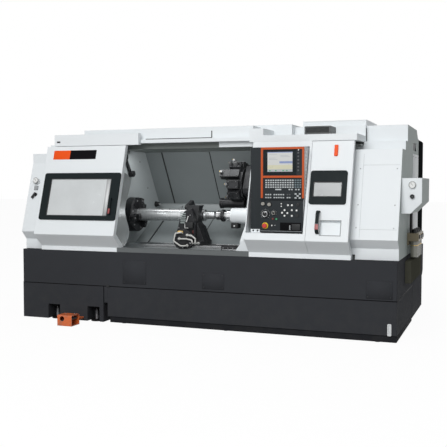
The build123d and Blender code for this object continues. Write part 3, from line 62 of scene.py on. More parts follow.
def makeCamera(sizes):
    data = bpy.data.cameras.new("camera")
    data.lens = sizes["lens"]
    data.sensor_width = sizes["sensor"]
    camera = bpy.data.objects.new("camera", data)
    camera.location = sizes["place"]
    camera.rotation_euler = (math.radians(90 + sizes["pitchDeg"]), 0, math.radians(sizes["yawDeg"]))
    bpy.context.scene.collection.objects.link(camera)
    bpy.context.scene.camera = camera


makeCamera(cameraSizes)
print("camera placed")

# Shader groups


def newGroup(name, inputs, outputs):
    tree = bpy.data.node_groups.new(name, "ShaderNodeTree")
    for label, kind, value in inputs:
        socket = tree.interface.new_socket(label, in_out="INPUT", socket_type=kind)
        socket.default_value = value
    for label, kind in outputs:
        tree.interface.new_socket(label, in_out="OUTPUT", socket_type=kind)
    start = tree.nodes.new("NodeGroupInput")
    end = tree.nodes.new("NodeGroupOutput")
    return tree, start, end


def add(tree, kind, values=None, **settings):
    node = tree.nodes.new(kind)
    for key, value in settings.items():
        setattr(node, key, value)
    for key, value in (values or {}).items():
        socket = node.inputs[key]
        if isinstance(value, bpy.types.NodeSocket):
            tree.links.new(value, socket)
        else:
            socket.default_value = value
    return node


def noise(tree, vector, scale, detail=3.0, roughness=0.55):
    values = {"Vector": vector, "Scale": scale, "Detail": detail, "Roughness": roughness}
    return add(tree, "ShaderNodeTexNoise", values).outputs["Fac"]


def span(tree, value, fromLow, fromHigh, low, high):
    values = {"Value": value, "From Min": fromLow, "From Max": fromHigh, "To Min": low, "To Max": high}
    return add(tree, "ShaderNodeMapRange", values).outputs["Result"]


def combine(tree, operation, first, second):
    return add(tree, "ShaderNodeMath", {0: first, 1: second}, operation=operation).outputs[0]


def tint(tree, color, factor):
    node = add(tree, "ShaderNodeHueSaturation", {"Color": color, "Value": factor})
    return node.outputs["Color"]


def blendColors(tree, factor, first, second):
    node = tree.nodes.new("ShaderNodeMix")
    node.data_type = "RGBA"
    for socket, value in ((node.inputs[0], factor), (node.inputs[6], first), (node.inputs[7], second)):
        if isinstance(value, bpy.types.NodeSocket):
            tree.links.new(value, socket)
        else:
            socket.default_value = value
    return node.outputs[2]


edgeSizes = {"radius": 0.003, "samples": 4, "bend": 0.86}


def makeEdgeGroup(sizes):
    tree, start, end = newGroup("softEdge", [("Radius", "NodeSocketFloat", sizes["radius"])], [
        ("Normal", "NodeSocketVector"),
        ("Edge", "NodeSocketFloat"),
    ])
    bevel = add(tree, "ShaderNodeBevel", {"Radius": start.outputs["Radius"]}, samples=sizes["samples"])
    geometry = tree.nodes.new("ShaderNodeNewGeometry")
    agree = add(tree, "ShaderNodeVectorMath", {0: bevel.outputs[0], 1: geometry.outputs["Normal"]})
    agree.operation = "DOT_PRODUCT"
    edge = span(tree, agree.outputs["Value"], 1.0, sizes["bend"], 0.0, 1.0)
    tree.links.new(bevel.outputs[0], end.inputs["Normal"])
    tree.links.new(edge, end.inputs["Edge"])
    return tree


# Ranges: from low, from high, to low, to high
paintSizes = {
    "broad": 1.7,
    "peelDetail": 2.0,
    "grime": (0.0, 0.5, 1.0, 0.0),
    "grimeColor": (0.10, 0.095, 0.085, 1),
    "patch": (9.0, 5.0),
    "patchRange": (0.42, 0.7, 0.0, 1.0),
    "gloss": (23.0, 4.0),
    "glossRange": (0.3, 0.7, -0.04, 0.06),
}


def makePaintGroup(sizes):
    tree, start, end = newGroup("paintSkin", [
        ("Color", "NodeSocketColor", (0.8, 0.8, 0.8, 1)),
        ("Variation", "NodeSocketFloat", 0.04),
        ("Grime", "NodeSocketFloat", 0.1),
        ("Peel", "NodeSocketFloat", 420.0),
    ], [("Color", "NodeSocketColor"), ("Rough", "NodeSocketFloat"), ("Height", "NodeSocketFloat")])
    place = tree.nodes.new("ShaderNodeTexCoord").outputs["Object"]
    broad = noise(tree, place, sizes["broad"])
    fine = noise(tree, place, start.outputs["Peel"], sizes["peelDetail"])
    spread = combine(tree, "MULTIPLY", combine(tree, "SUBTRACT", broad, 0.5), start.outputs["Variation"])
    color = tint(tree, start.outputs["Color"], combine(tree, "ADD", spread, 1.0))
    height = add(tree, "ShaderNodeSeparateXYZ", {0: place}).outputs["Z"]
    low = span(tree, height, *sizes["grime"])
    patch = span(tree, noise(tree, place, *sizes["patch"]), *sizes["patchRange"])
    dirt = combine(tree, "MULTIPLY", combine(tree, "MULTIPLY", low, patch), start.outputs["Grime"])
    color = blendColors(tree, dirt, color, sizes["grimeColor"])
    rough = span(tree, noise(tree, place, *sizes["gloss"]), *sizes["glossRange"])
    tree.links.new(color, end.inputs["Color"])
    tree.links.new(rough, end.inputs["Rough"])
    tree.links.new(fine, end.inputs["Height"])
    return tree


streakSizes = {
    "streak": (1.0, 4.0, 0.6),
    "roughSwing": 0.3,
    "stain": (6.0, 4.0),
    "stainRange": (0.35, 0.75, 0.0, 0.5),
    "stainShare": 0.18,
    "stainColor": (0.05, 0.045, 0.035, 1),
}


def makeStreakGroup(sizes):
    tree, start, end = newGroup("metalStreak", [
        ("Color", "NodeSocketColor", (0.6, 0.6, 0.6, 1)),
        ("Stretch", "NodeSocketVector", (2.0, 300.0, 300.0)),
        ("Contrast", "NodeSocketFloat", 0.25),
    ], [("Color", "NodeSocketColor"), ("Rough", "NodeSocketFloat"), ("Height", "NodeSocketFloat")])
    place = tree.nodes.new("ShaderNodeTexCoord").outputs["Object"]
    drawn = add(tree, "ShaderNodeVectorMath", {0: place, 1: start.outputs["Stretch"]})
    drawn.operation = "MULTIPLY"
    streak = noise(tree, drawn.outputs["Vector"], *sizes["streak"])
    stain = span(tree, noise(tree, place, *sizes["stain"]), *sizes["stainRange"])
    swing = combine(tree, "MULTIPLY", combine(tree, "SUBTRACT", streak, 0.5), start.outputs["Contrast"])
    color = tint(tree, start.outputs["Color"], combine(tree, "ADD", swing, 1.0))
    stained = combine(tree, "MULTIPLY", stain, sizes["stainShare"])
    color = blendColors(tree, stained, color, sizes["stainColor"])
    rough = combine(tree, "MULTIPLY", combine(tree, "SUBTRACT", streak, 0.5), sizes["roughSwing"])
    tree.links.new(color, end.inputs["Color"])
    tree.links.new(rough, end.inputs["Rough"])
    tree.links.new(streak, end.inputs["Height"])
    return tree


castSizes = {
    "grain": (5.0, 0.65),
    "broad": (5.0, 3.0),
    "shadeRange": (0.3, 0.7, 0.8, 1.25),
    "oil": (14.0, 4.0),
    "oilRange": (0.45, 0.65, 0.08, -0.16),
}


def makeCastGroup(sizes):
    tree, start, end = newGroup("castSkin", [
        ("Color", "NodeSocketColor", (0.05, 0.05, 0.05, 1)),
        ("Grain", "NodeSocketFloat", 160.0),
    ], [("Color", "NodeSocketColor"), ("Rough", "NodeSocketFloat"), ("Height", "NodeSocketFloat")])
    place = tree.nodes.new("ShaderNodeTexCoord").outputs["Object"]
    grain = noise(tree, place, start.outputs["Grain"], *sizes["grain"])
    broad = noise(tree, place, *sizes["broad"])
    color = tint(tree, start.outputs["Color"], span(tree, broad, *sizes["shadeRange"]))
    oil = span(tree, noise(tree, place, *sizes["oil"]), *sizes["oilRange"])
    tree.links.new(color, end.inputs["Color"])
    tree.links.new(oil, end.inputs["Rough"])
    tree.links.new(grain, end.inputs["Height"])
    return tree


edgeGroup = makeEdgeGroup(edgeSizes)
skinGroups = {
    "paint": makePaintGroup(paintSizes),
    "metal": makeStreakGroup(streakSizes),
    "cast": makeCastGroup(castSizes),
}
wornColor = (0.45, 0.45, 0.46, 1)


def makeMaterial(name, color, skin="paint", rough=0.4, metal=0.0, bump=0.05, edge=0.004, wear=0.0, **more):
    material = bpy.data.materials.new(name)
    material.use_nodes = True
    tree = material.node_tree
    shader = tree.nodes["Principled BSDF"]
    group = tree.nodes.new("ShaderNodeGroup")
    group.node_tree = skinGroups[skin]
    group.inputs["Color"].default_value = (*color, 1)
    for key in ("Variation", "Grime", "Peel", "Stretch", "Contrast", "Grain"):
        if key.lower() in more:
            group.inputs[key].default_value = more[key.lower()]
    soft = tree.nodes.new("ShaderNodeGroup")
    soft.node_tree = edgeGroup
    soft.inputs["Radius"].default_value = edge
    worn = combine(tree, "MULTIPLY", soft.outputs["Edge"], wear)
    coated = blendColors(tree, worn, group.outputs["Color"], wornColor)
    tree.links.new(coated, shader.inputs["Base Color"])
    total = add(tree, "ShaderNodeMath", {0: group.outputs["Rough"], 1: rough}, operation="ADD")
    total.use_clamp = True
    tree.links.new(total.outputs[0], shader.inputs["Roughness"])
    relief = add(tree, "ShaderNodeBump", {
        "Height": group.outputs["Height"],
        "Strength": bump,
        "Distance": more.get("depth", 0.001),
        "Normal": soft.outputs["Normal"],
    })
    tree.links.new(relief.outputs[0], shader.inputs["Normal"])
    shader.inputs["Metallic"].default_value = metal
    shader.inputs["Coat Weight"].default_value = more.get("coat", 0.0)
    shader.inputs["Specular IOR Level"].default_value = more.get("spec", 0.5)
    shader.inputs["Emission Color"].default_value = (*color, 1)
    shader.inputs["Emission Strength"].default_value = more.get("glowStrength", 0.0)
    return material


glassSizes = {
    "smear": (4.0, 4.0),
    "shadeRange": (0.3, 0.7, 0.94, 1.04),
    "roughRange": (0.3, 0.7, 0.12, 0.3),
    "spec": 0.6,
}


def makeGlass(name, color, alpha, sizes):
    material = bpy.data.materials.new(name)
    material.use_nodes = True
    tree = material.node_tree
    shader = tree.nodes["Principled BSDF"]
    place = tree.nodes.new("ShaderNodeTexCoord").outputs["Object"]
    smear = noise(tree, place, *sizes["smear"])
    smeared = tint(tree, (*color, 1), span(tree, smear, *sizes["shadeRange"]))
    tree.links.new(smeared, shader.inputs["Base Color"])
    tree.links.new(span(tree, smear, *sizes["roughRange"]), shader.inputs["Roughness"])
    shader.inputs["Alpha"].default_value = alpha
    shader.inputs["Specular IOR Level"].default_value = sizes["spec"]
    return material


white = (0.795, 0.832, 0.852)
charcoal = (0.040, 0.042, 0.047)
turned = (300.0, 2.0, 2.0)
recipes = {
    "white_paint": dict(color=white, rough=0.42, bump=0.03, variation=0.035, edge=0.005, spec=0.2),
    "charcoal_paint": dict(
        color=charcoal, rough=0.7, bump=0.08, variation=0.2, grime=0.12, edge=0.006, spec=0.02,
    ),
    "black_paint": dict(color=(0.019, 0.021, 0.022), rough=0.7, bump=0.08, variation=0.25, spec=0.0),
    "foot_steel": dict(color=(0.22, 0.22, 0.23), skin="metal", rough=0.45, metal=0.9, wear=0.4),
    "gauge_plastic": dict(color=(0.66, 0.68, 0.69), rough=0.25, variation=0.06, coat=0.4, edge=0.002),
    "machined_iron": dict(color=(0.26, 0.27, 0.28), skin="metal", rough=0.4, metal=0.9),
    "lining_steel": dict(color=(0.222, 0.247, 0.252), rough=0.36, bump=0.03, variation=0.2, spec=0.4),
    "soffit_paint": dict(color=(0.17, 0.19, 0.18), rough=0.4, variation=0.12),
    "console_paint": dict(
        color=(0.013, 0.017, 0.020), rough=0.5, bump=0.25, peel=900.0, variation=0.15, spec=0.2,
    ),
    "orange_trim": dict(color=(0.50, 0.082, 0.016), rough=0.4, variation=0.12, edge=0.002, spec=0.25),
    "orange_plate": dict(color=(0.84, 0.085, 0.006), rough=0.4, variation=0.08, edge=0.002, spec=0.2),
    "tag_red": dict(color=(0.30, 0.055, 0.055), rough=0.4, variation=0.15, edge=0.001),
    "strip_pale": dict(color=(0.76, 0.78, 0.785), rough=0.3, variation=0.08, spec=0.3),
    "screen_glass": dict(color=(0.03, 0.035, 0.04), rough=0.16, variation=0.05, coat=0.5, edge=0.002),
    "key_plastic": dict(color=(0.30, 0.32, 0.33), rough=0.45, variation=0.2, bump=0.1, edge=0.002),
    "pedal_paint": dict(color=(0.66, 0.14, 0.032), rough=0.38, variation=0.2, wear=0.35, grime=0.7),
    "way_chrome": dict(color=(0.72, 0.73, 0.74), skin="metal", rough=0.2, metal=1.0, contrast=0.12),
    "frame_plastic": dict(
        color=(0.011, 0.016, 0.0175), rough=0.5, bump=0.12, peel=700.0, variation=0.15, spec=0.08,
    ),
    "stainless": dict(color=(0.80, 0.82, 0.825), skin="metal", rough=0.2, metal=0.7, contrast=0.15),
    "spindle_steel": dict(
        color=(0.46, 0.47, 0.48), skin="metal", rough=0.28, metal=1.0, stretch=turned,
    ),
    "work_steel": dict(
        color=(0.66, 0.68, 0.69), skin="metal", rough=0.3, metal=0.8, stretch=turned, bump=0.12,
    ),
    "dark_steel": dict(
        color=(0.022, 0.023, 0.025), skin="cast", rough=0.36, metal=0.3, bump=0.12, wear=0.3,
        spec=0.4,
    ),
    "dark_iron": dict(
        color=(0.017, 0.018, 0.020), skin="cast", rough=0.5, bump=0.3, wear=0.2, depth=0.002,
        spec=0.25,
    ),
    "hose_white": dict(
        color=(0.60, 0.60, 0.58), skin="metal", rough=0.6, stretch=(220.0, 220.0, 220.0), bump=0.4,
    ),
    "stop_red": dict(color=(0.55, 0.016, 0.014), rough=0.28, coat=0.5, variation=0.1, edge=0.002),
    "knob_plastic": dict(
        color=(0.013, 0.014, 0.015), rough=0.4, bump=0.15, peel=800.0, variation=0.2, edge=0.002,
        spec=0.3,
    ),
    "tread_rubber": dict(color=(0.030, 0.030, 0.032), skin="cast", rough=0.75, bump=0.4, grain=260.0),
    "vent_paint": dict(color=(0.055, 0.06, 0.062), rough=0.45, variation=0.2),
    "seam_dark": dict(color=(0.030, 0.032, 0.034), skin="cast", rough=0.8, bump=0.2),
    "seam_grey": dict(color=(0.32, 0.335, 0.345), rough=0.6, variation=0.1),
    "brass": dict(color=(0.60, 0.42, 0.16), skin="metal", rough=0.3, metal=1.0),
    "insert_gold": dict(
        color=(0.70, 0.50, 0.14), skin="metal", rough=0.25, metal=1.0, stretch=(60.0, 60.0, 60.0),
    ),
    "bright_steel": dict(
        color=(0.58, 0.59, 0.60), skin="metal", rough=0.3, metal=1.0, wear=0.2, edge=0.001,
    ),
    "yellow_ring": dict(color=(0.78, 0.55, 0.03), rough=0.35, variation=0.1, edge=0.001),
    "green_cap": dict(color=(0.02, 0.30, 0.12), rough=0.3, coat=0.4, variation=0.1, edge=0.001),
    "white_cap": dict(color=(0.78, 0.79, 0.78), rough=0.35, variation=0.05, edge=0.001),
    # plinth_shade_paint is the charcoal darkened by painted shade under the tank
    "plinth_shade_paint": dict(
        color=(0.020, 0.021, 0.024), rough=0.7, bump=0.08, variation=0.2, edge=0.004, spec=0.02,
    ),
    "plate_black": dict(color=(0.005, 0.005, 0.006), rough=0.5, variation=0.2, edge=0.001, spec=0.03),
    "screen_pale": dict(
        color=(0.50, 0.51, 0.50), rough=0.3, variation=0.15, glowStrength=0.15, edge=0.0005,
    ),
    "screen_warm": dict(
        color=(0.50, 0.49, 0.36), rough=0.3, variation=0.15, glowStrength=0.15, edge=0.0005,
    ),
    "screen_blue": dict(
        color=(0.16, 0.20, 0.34), rough=0.3, variation=0.1, glowStrength=0.4, edge=0.0005,
    ),
    "screen_grey": dict(
        color=(0.30, 0.32, 0.34), rough=0.3, variation=0.1, glowStrength=0.3, edge=0.0005,
    ),
    "olive_paint": dict(color=(0.100, 0.100, 0.078), rough=0.8, variation=0.3, bump=0.1, spec=0.0),
    "bowl_clear": dict(color=(0.26, 0.26, 0.22), rough=0.15, variation=0.2, coat=0.6),
    # side_grey is the guard ribs' own grey, and painted shade on the right-facing sides
    "side_grey": dict(color=(0.375, 0.43, 0.42), rough=0.5, bump=0.03, variation=0.05, spec=0.15),
    # side_highlight_grey is a painted highlight on the console box's right side
    "side_highlight_grey": dict(color=(0.55, 0.57, 0.58), rough=0.38, bump=0.03, variation=0.05),
    "key_light": dict(color=(0.46, 0.49, 0.50), rough=0.45, bump=0.08, variation=0.15, edge=0.001),
    "key_teal": dict(color=(0.13, 0.18, 0.20), rough=0.45, bump=0.08, variation=0.15, edge=0.001),
    "key_dark": dict(color=(0.05, 0.055, 0.06), rough=0.45, bump=0.08, variation=0.2, edge=0.001),
    # bulkhead_lit_steel is the lining painted lighter: painted light on the bulkhead
    "bulkhead_lit_steel": dict(color=(0.488, 0.53, 0.54), rough=0.36, bump=0.03, variation=0.12, spec=0.4),
    "unit_bronze": dict(color=(0.15, 0.13, 0.085), skin="metal", rough=0.4, metal=0.5),
    "cover_steel": dict(color=(0.35, 0.378, 0.384), rough=0.34, bump=0.03, variation=0.15, spec=0.4),
    "sill_grey": dict(color=(0.115, 0.125, 0.128), rough=0.45, variation=0.15, bump=0.05, spec=0.3),
    "tool_steel": dict(color=(0.20, 0.205, 0.21), skin="metal", rough=0.38, metal=0.8),
    "seam_pale": dict(color=(0.50, 0.52, 0.53), rough=0.5, variation=0.08),
    "switch_grey": dict(color=(0.34, 0.33, 0.30), rough=0.38, variation=0.15, bump=0.1, edge=0.001),
    "dim_red": dict(color=(0.16, 0.02, 0.018), rough=0.35, variation=0.15, edge=0.001),
    "dial_rim": dict(color=(0.30, 0.31, 0.31), skin="metal", rough=0.35, metal=0.8, edge=0.001),
}
materials = {name: makeMaterial(name, **recipe) for name, recipe in recipes.items()}
materials["window_glass"] = makeGlass("window_glass", (0.69, 0.72, 0.73), 0.86, glassSizes)
materials["tail_glass"] = makeGlass("tail_glass", (0.22, 0.24, 0.245), 0.9, glassSizes)
for name, node in nodes.items():
    node.data.materials.clear()
    node.data.materials.append(materials["tail_glass" if name == "tail_window_glass" else slotOf[name]])
print("materials made")

# Places on the frame

axisX = Vector((1, 0, 0))
axisY = Vector((0, 1, 0))
axisZ = Vector((0, 0, 1))


def basisAt(origin, across, out):
    up = out.cross(across)
    matrix = Matrix((across, up, out)).transposed().to_4x4()
    matrix.translation = origin
    return matrix


def largestFace(node, towards):
    direction = Vector(towards).normalized()
    best = None
    for polygon in nodes[node].data.polygons:
        if polygon.normal.dot(direction) > 0.99 and (best is None or polygon.area > best.area):
            best = polygon
    return best


def spanIn(basis, node):
    turnedBack = basis.inverted()
    places = [turnedBack @ vertex.co for vertex in nodes[node].data.vertices]
    low = Vector([min(place[axis] for place in places) for axis in range(3)])
    high = Vector([max(place[axis] for place in places) for axis in range(3)])
    return low, high


def facePoints(node, towards, close=0.9999):
    direction = Vector(towards).normalized()
    data = nodes[node].data
    places = []
    for polygon in data.polygons:
        if polygon.normal.dot(direction) > close:
            places += [data.vertices[index].co for index in polygon.vertices]
    return places


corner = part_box("base_frame")[0]


def at(x, y, z):
    return Vector((corner.x + x, corner.y + y, z))


def frontAt(y):
    return basisAt(at(0, y, 0), axisX, -axisY)


def rightAt(x):
    return basisAt(at(x, 0, 0), axisY, axisX)


def leftAt(x):
    return basisAt(at(x, 0, 0), -axisY, -axisX)


def rearAt(y):
    return basisAt(at(0, y, 0), -axisX, axisY)


def topAt(z):
    return basisAt(at(0, 0, z), axisX, axisZ)


doorNormal = largestFace("left_door", (0, -1, 0.3)).normal.copy()
doorFoot = min(facePoints("left_door", doorNormal), key=lambda place: place.z)
leanSizes = {"rounding": 0.005}
leanFront = basisAt(at(0, doorFoot.y - corner.y, doorFoot.z), axisX, doorNormal)
leanFront = leanFront @ Matrix.Translation((0, -leanSizes["rounding"], 0))


def leanAt(depth):
    return leanFront @ Matrix.Translation((0, 0, -depth))


# Mesh building

meshSizes = {"roundSteps": 2, "roundProfile": 0.6, "rodSides": 28, "smoothDeg": 35, "grownDeg": 30}


def block(mesh, basis, low, high, bevel=0.0, material=0):
    made = bmesh.ops.create_cube(mesh, size=1.0)["verts"]
    size = [high[axis] - low[axis] for axis in range(3)]
    middle = Vector([(high[axis] + low[axis]) / 2 for axis in range(3)])
    for vertex in made:
        vertex.co = basis @ (Vector([vertex.co[axis] * size[axis] for axis in range(3)]) + middle)
    for face in {face for vertex in made for face in vertex.link_faces}:
        face.material_index = material
    if bevel > 0:
        edges = {edge for vertex in made for edge in vertex.link_edges}
        bmesh.ops.bevel(
            mesh,
            geom=list(edges),
            offset=bevel,
            segments=meshSizes["roundSteps"],
            affect="EDGES",
            profile=meshSizes["roundProfile"],
            material=material,
        )


def rod(mesh, basis, place, radius, start, end, sides=24, material=0, taper=1.0):
    made = bmesh.ops.create_cone(
        mesh,
        cap_ends=True,
        segments=sides,
        radius1=radius,
        radius2=radius * taper,
        depth=end - start,
    )["verts"]
    for vertex in made:
        vertex.co = basis @ (vertex.co + Vector((place[0], place[1], (start + end) / 2)))
    for face in {face for vertex in made for face in vertex.link_faces}:
        face.material_index = material


def ring(mesh, basis, place, radius, thick, level, material=0, sides=32, tube=8):
    loops = []
    for number in range(sides):
        angle = 2 * math.pi * number / sides
        loop = []
        for step in range(tube):
            turn = 2 * math.pi * step / tube
            reach = radius + thick * math.cos(turn)
            point = Vector((
                place[0] + reach * math.cos(angle),
                place[1] + reach * math.sin(angle),
                level + thick * math.sin(turn),
            ))
            loop.append(mesh.verts.new(basis @ point))
        loops.append(loop)
    for number in range(sides):
        after = loops[(number + 1) % sides]
        for step in range(tube):
            far = (step + 1) % tube
            corners = (loops[number][step], after[step], after[far], loops[number][far])
            mesh.faces.new(corners).material_index = material


def putPiece(name, data, body, smoothDeg):
    data.shade_smooth()
    data.set_sharp_from_angle(angle=math.radians(smoothDeg))
    piece = bpy.data.objects.new(name, data)
    bpy.context.scene.collection.objects.link(piece)
    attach(piece, body)
    return piece


def finishPiece(name, mesh, used, body):
    bmesh.ops.recalc_face_normals(mesh, faces=mesh.faces)
    data = bpy.data.meshes.new(name)
    mesh.to_mesh(data)
    mesh.free()
    for entry in used:
        data.materials.append(materials[entry])
    return putPiece(name, data, body, meshSizes["smoothDeg"])


# Boxes: left, right, bottom, top, back, front, material. Rods: across, up, radius, back, front, material
def batch(name, basis, used, body, boxes=(), rods=(), bevel=0.0, taper=0.94):
    mesh = bmesh.new()
    for left, right, bottom, top, back, front, material in boxes:
        block(mesh, basis, (left, bottom, back), (right, top, front), bevel, material)
    for across, up, radius, back, front, material in rods:
        rod(mesh, basis, (across, up), radius, back, front, meshSizes["rodSides"], material, taper)
    return finishPiece(name, mesh, used, body)


def paintFaces(node, material, wanted):
    data = nodes[node].data
    data.materials.append(materials[material])
    index = len(data.materials) - 1
    for polygon in data.polygons:
        if wanted(polygon.center, polygon.normal):
            polygon.material_index = index


# Node trees for what repeats


def newTree(name, inputs):
    tree = bpy.data.node_groups.new(name, "GeometryNodeTree")
    tree.interface.new_socket("Geometry", in_out="INPUT", socket_type="NodeSocketGeometry")
    for label, kind in inputs:
        tree.interface.new_socket(label, in_out="INPUT", socket_type=kind)
    tree.interface.new_socket("Geometry", in_out="OUTPUT", socket_type="NodeSocketGeometry")
    return tree, tree.nodes.new("NodeGroupInput"), tree.nodes.new("NodeGroupOutput")


def closeTree(tree, instances, start, end):
    realized = add(tree, "GeometryNodeRealizeInstances", {"Geometry": instances})
    coated = add(tree, "GeometryNodeSetMaterial", {
        "Geometry": realized.outputs[0],
        "Material": start.outputs["Material"],
    })
    tree.links.new(coated.outputs[0], end.inputs["Geometry"])


# Shares of the head's radius and height
screwSizes = {
    "sides": 14,
    "top": 0.72,
    "socketSides": 6,
    "socketTop": 0.42,
    "socketFoot": 0.5,
    "socketTall": 0.35,
}


def makeScrewTree(sizes):
    tree, start, end = newTree("screwHeads", [
        ("Radius", "NodeSocketFloat"),
        ("Height", "NodeSocketFloat"),
        ("Material", "NodeSocketMaterial"),
    ])
    head = add(tree, "GeometryNodeMeshCone", {
        "Vertices": sizes["sides"],
        "Radius Top": combine(tree, "MULTIPLY", start.outputs["Radius"], sizes["top"]),
        "Radius Bottom": start.outputs["Radius"],
        "Depth": start.outputs["Height"],
    })
    socket = add(tree, "GeometryNodeMeshCone", {
        "Vertices": sizes["socketSides"],
        "Radius Top": combine(tree, "MULTIPLY", start.outputs["Radius"], sizes["socketTop"]),
        "Radius Bottom": combine(tree, "MULTIPLY", start.outputs["Radius"], sizes["socketFoot"]),
        "Depth": combine(tree, "MULTIPLY", start.outputs["Height"], sizes["socketTall"]),
    })
    lift = add(tree, "ShaderNodeCombineXYZ", {2: start.outputs["Height"]})
    raisedSocket = add(tree, "GeometryNodeTransform", {
        "Geometry": socket.outputs["Mesh"],
        "Translation": lift.outputs[0],
    })
    joined = tree.nodes.new("GeometryNodeJoinGeometry")
    tree.links.new(head.outputs["Mesh"], joined.inputs[0])
    tree.links.new(raisedSocket.outputs[0], joined.inputs[0])
    facing = add(tree, "GeometryNodeInputNamedAttribute", {"Name": "facing"}, data_type="FLOAT_VECTOR")
    turn = add(tree, "FunctionNodeAlignRotationToVector", {"Vector": facing.outputs[0]}, axis="Z")
    placed = add(tree, "GeometryNodeInstanceOnPoints", {
        "Points": start.outputs["Geometry"],
        "Instance": joined.outputs[0],
        "Rotation": turn.outputs[0],
    })
    closeTree(tree, placed.outputs[0], start, end)
    return tree


def makeGridTree():
    tree, start, end = newTree("blockGrid", [
        ("Columns", "NodeSocketInt"),
        ("Rows", "NodeSocketInt"),
        ("Width", "NodeSocketFloat"),
        ("Depth", "NodeSocketFloat"),
        ("Size", "NodeSocketVector"),
        ("Tilt", "NodeSocketVector"),
        ("Material", "NodeSocketMaterial"),
    ])
    grid = add(tree, "GeometryNodeMeshGrid", {
        "Size X": start.outputs["Width"],
        "Size Y": start.outputs["Depth"],
        "Vertices X": start.outputs["Columns"],
        "Vertices Y": start.outputs["Rows"],
    })
    cube = add(tree, "GeometryNodeMeshCube", {"Size": start.outputs["Size"]})
    turn = add(tree, "FunctionNodeEulerToRotation", {0: start.outputs["Tilt"]})
    placed = add(tree, "GeometryNodeInstanceOnPoints", {
        "Points": grid.outputs["Mesh"],
        "Instance": cube.outputs["Mesh"],
        "Rotation": turn.outputs[0],
    })
    closeTree(tree, placed.outputs[0], start, end)
    return tree


trees = {"screws": makeScrewTree(screwSizes), "grid": makeGridTree()}


def grow(name, tree, source, inputs, matrix, material, body, bevel=0.0):
    holder = bpy.data.objects.new(name + "Source", source)
    bpy.context.scene.collection.objects.link(holder)
    modifier = holder.modifiers.new("grow", "NODES")
    modifier.node_group = trees[tree]
    for item in trees[tree].interface.items_tree:
        if item.in_out == "INPUT" and item.name in inputs:
            modifier[item.identifier] = inputs[item.name]
        if item.in_out == "INPUT" and item.name == "Material":
            modifier[item.identifier] = materials[material]
    if bevel > 0:
        rounding = holder.modifiers.new("rounding", "BEVEL")
        rounding.width = bevel
        rounding.segments = meshSizes["roundSteps"]
    holder.data.update()
    evaluated = holder.evaluated_get(bpy.context.evaluated_depsgraph_get())
    grown = bpy.data.meshes.new_from_object(evaluated)
    bpy.data.objects.remove(holder)
    grown.transform(matrix)
    return putPiece(name, grown, body, meshSizes["grownDeg"])


def screws(name, spots, radius, height, material, body):
    source = bpy.data.meshes.new(name + "Spots")
    source.from_pydata([spot for spot, out in spots], [], [])
    facing = source.attributes.new("facing", "FLOAT_VECTOR", "POINT")
    for number, (spot, out) in enumerate(spots):
        facing.data[number].vector = out
    inputs = {"Radius": radius, "Height": height}
    return grow(name, "screws", source, inputs, Matrix.Identity(4), material, body)


def blocks(name, basis, middle, counts, extent, size, material, body, tilt=(0.0, 0.0, 0.0), bevel=0.0):
    source = bpy.data.meshes.new(name + "Seed")
    inputs = {
        "Columns": counts[0],
        "Rows": counts[1],
        "Width": extent[0],
        "Depth": extent[1],
        "Size": size,
        "Tilt": tilt,
    }
    place = basis @ Matrix.Translation(Vector(middle))
    return grow(name, "grid", source, inputs, place, material, body, bevel)


def along(basis, places):
    out = basis.to_3x3() @ axisZ
    return [(basis @ Vector(place), out) for place in places]


def around(low, high, inset, columns, rows, level=0.0):
    places = []
    for column in range(columns):
        share = column / (columns - 1)
        across = low[0] + inset + share * (high[0] - low[0] - 2 * inset)
        places += [(across, low[1] + inset, level), (across, high[1] - inset, level)]
    for row in range(1, rows - 1):
        share = row / (rows - 1)
        up = low[1] + inset + share * (high[1] - low[1] - 2 * inset)
        places += [(low[0] + inset, up, level), (high[0] - inset, up, level)]
    return places


print("tools ready")

# Light and floor

# Lamps: place, aim, power, width, depth
stageSizes = {
    "half": 60.0,
    "sky": 0.30,
    "floorColor": (0.48, 0.48, 0.48),
    "floorGlow": 0.9,
    "shine": 1.06,
    "lamps": {
        "keyLight": ((0.6, -9.5, 5.8), (0.3, 0, 1.0), 670.0, 5.0, 5.0),
        "fillLight": ((2.0, -9.0, 2.5), (0.5, 0, 1.0), 16.0, 5.0, 5.0),
        "rimLight": ((1.0, 7.0, 6.0), (0, 0, 1.2), 120.0, 5.0, 5.0),
        "innerLight": (at(1.9, 0.56, 1.755), at(1.9, 0.95, 1.0), 5.0, 1.7, 0.2),
    },
}


def makeLight(name, place, aim, power, width, depth):
    data = bpy.data.lights.new(name, "AREA")
    data.energy = power
    data.shape = "RECTANGLE"
    data.size = width
    data.size_y = depth
    light = bpy.data.objects.new(name, data)
    light.location = place
    light.rotation_euler = (Vector(aim) - Vector(place)).to_track_quat("-Z", "Y").to_euler()
    light.visible_camera = False
    bpy.context.scene.collection.objects.link(light)


def seenRay(tree):
    ray = tree.nodes.new("ShaderNodeLightPath")
    seen = combine(tree, "MAXIMUM", ray.outputs["Is Camera Ray"], ray.outputs["Is Glossy Ray"])
    return combine(tree, "MAXIMUM", seen, ray.outputs["Is Transmission Ray"])


def makeFloorPaint(sizes):
    color = sizes["floorColor"]
    material = makeMaterial("floorPaint", color, rough=0.8, variation=0.02, bump=0.02, spec=0.1)
    tree = material.node_tree
    shader = tree.nodes["Principled BSDF"]
    shine = add(tree, "ShaderNodeEmission", {"Color": (1, 1, 1, 1), "Strength": sizes["shine"]})
    seen = combine(tree, "MULTIPLY", seenRay(tree), sizes["floorGlow"])
    mixed = add(tree, "ShaderNodeMixShader", {0: seen})
    tree.links.new(shader.outputs[0], mixed.inputs[1])
    tree.links.new(shine.outputs[0], mixed.inputs[2])
    tree.links.new(mixed.outputs[0], tree.nodes["Material Output"].inputs["Surface"])
    return material


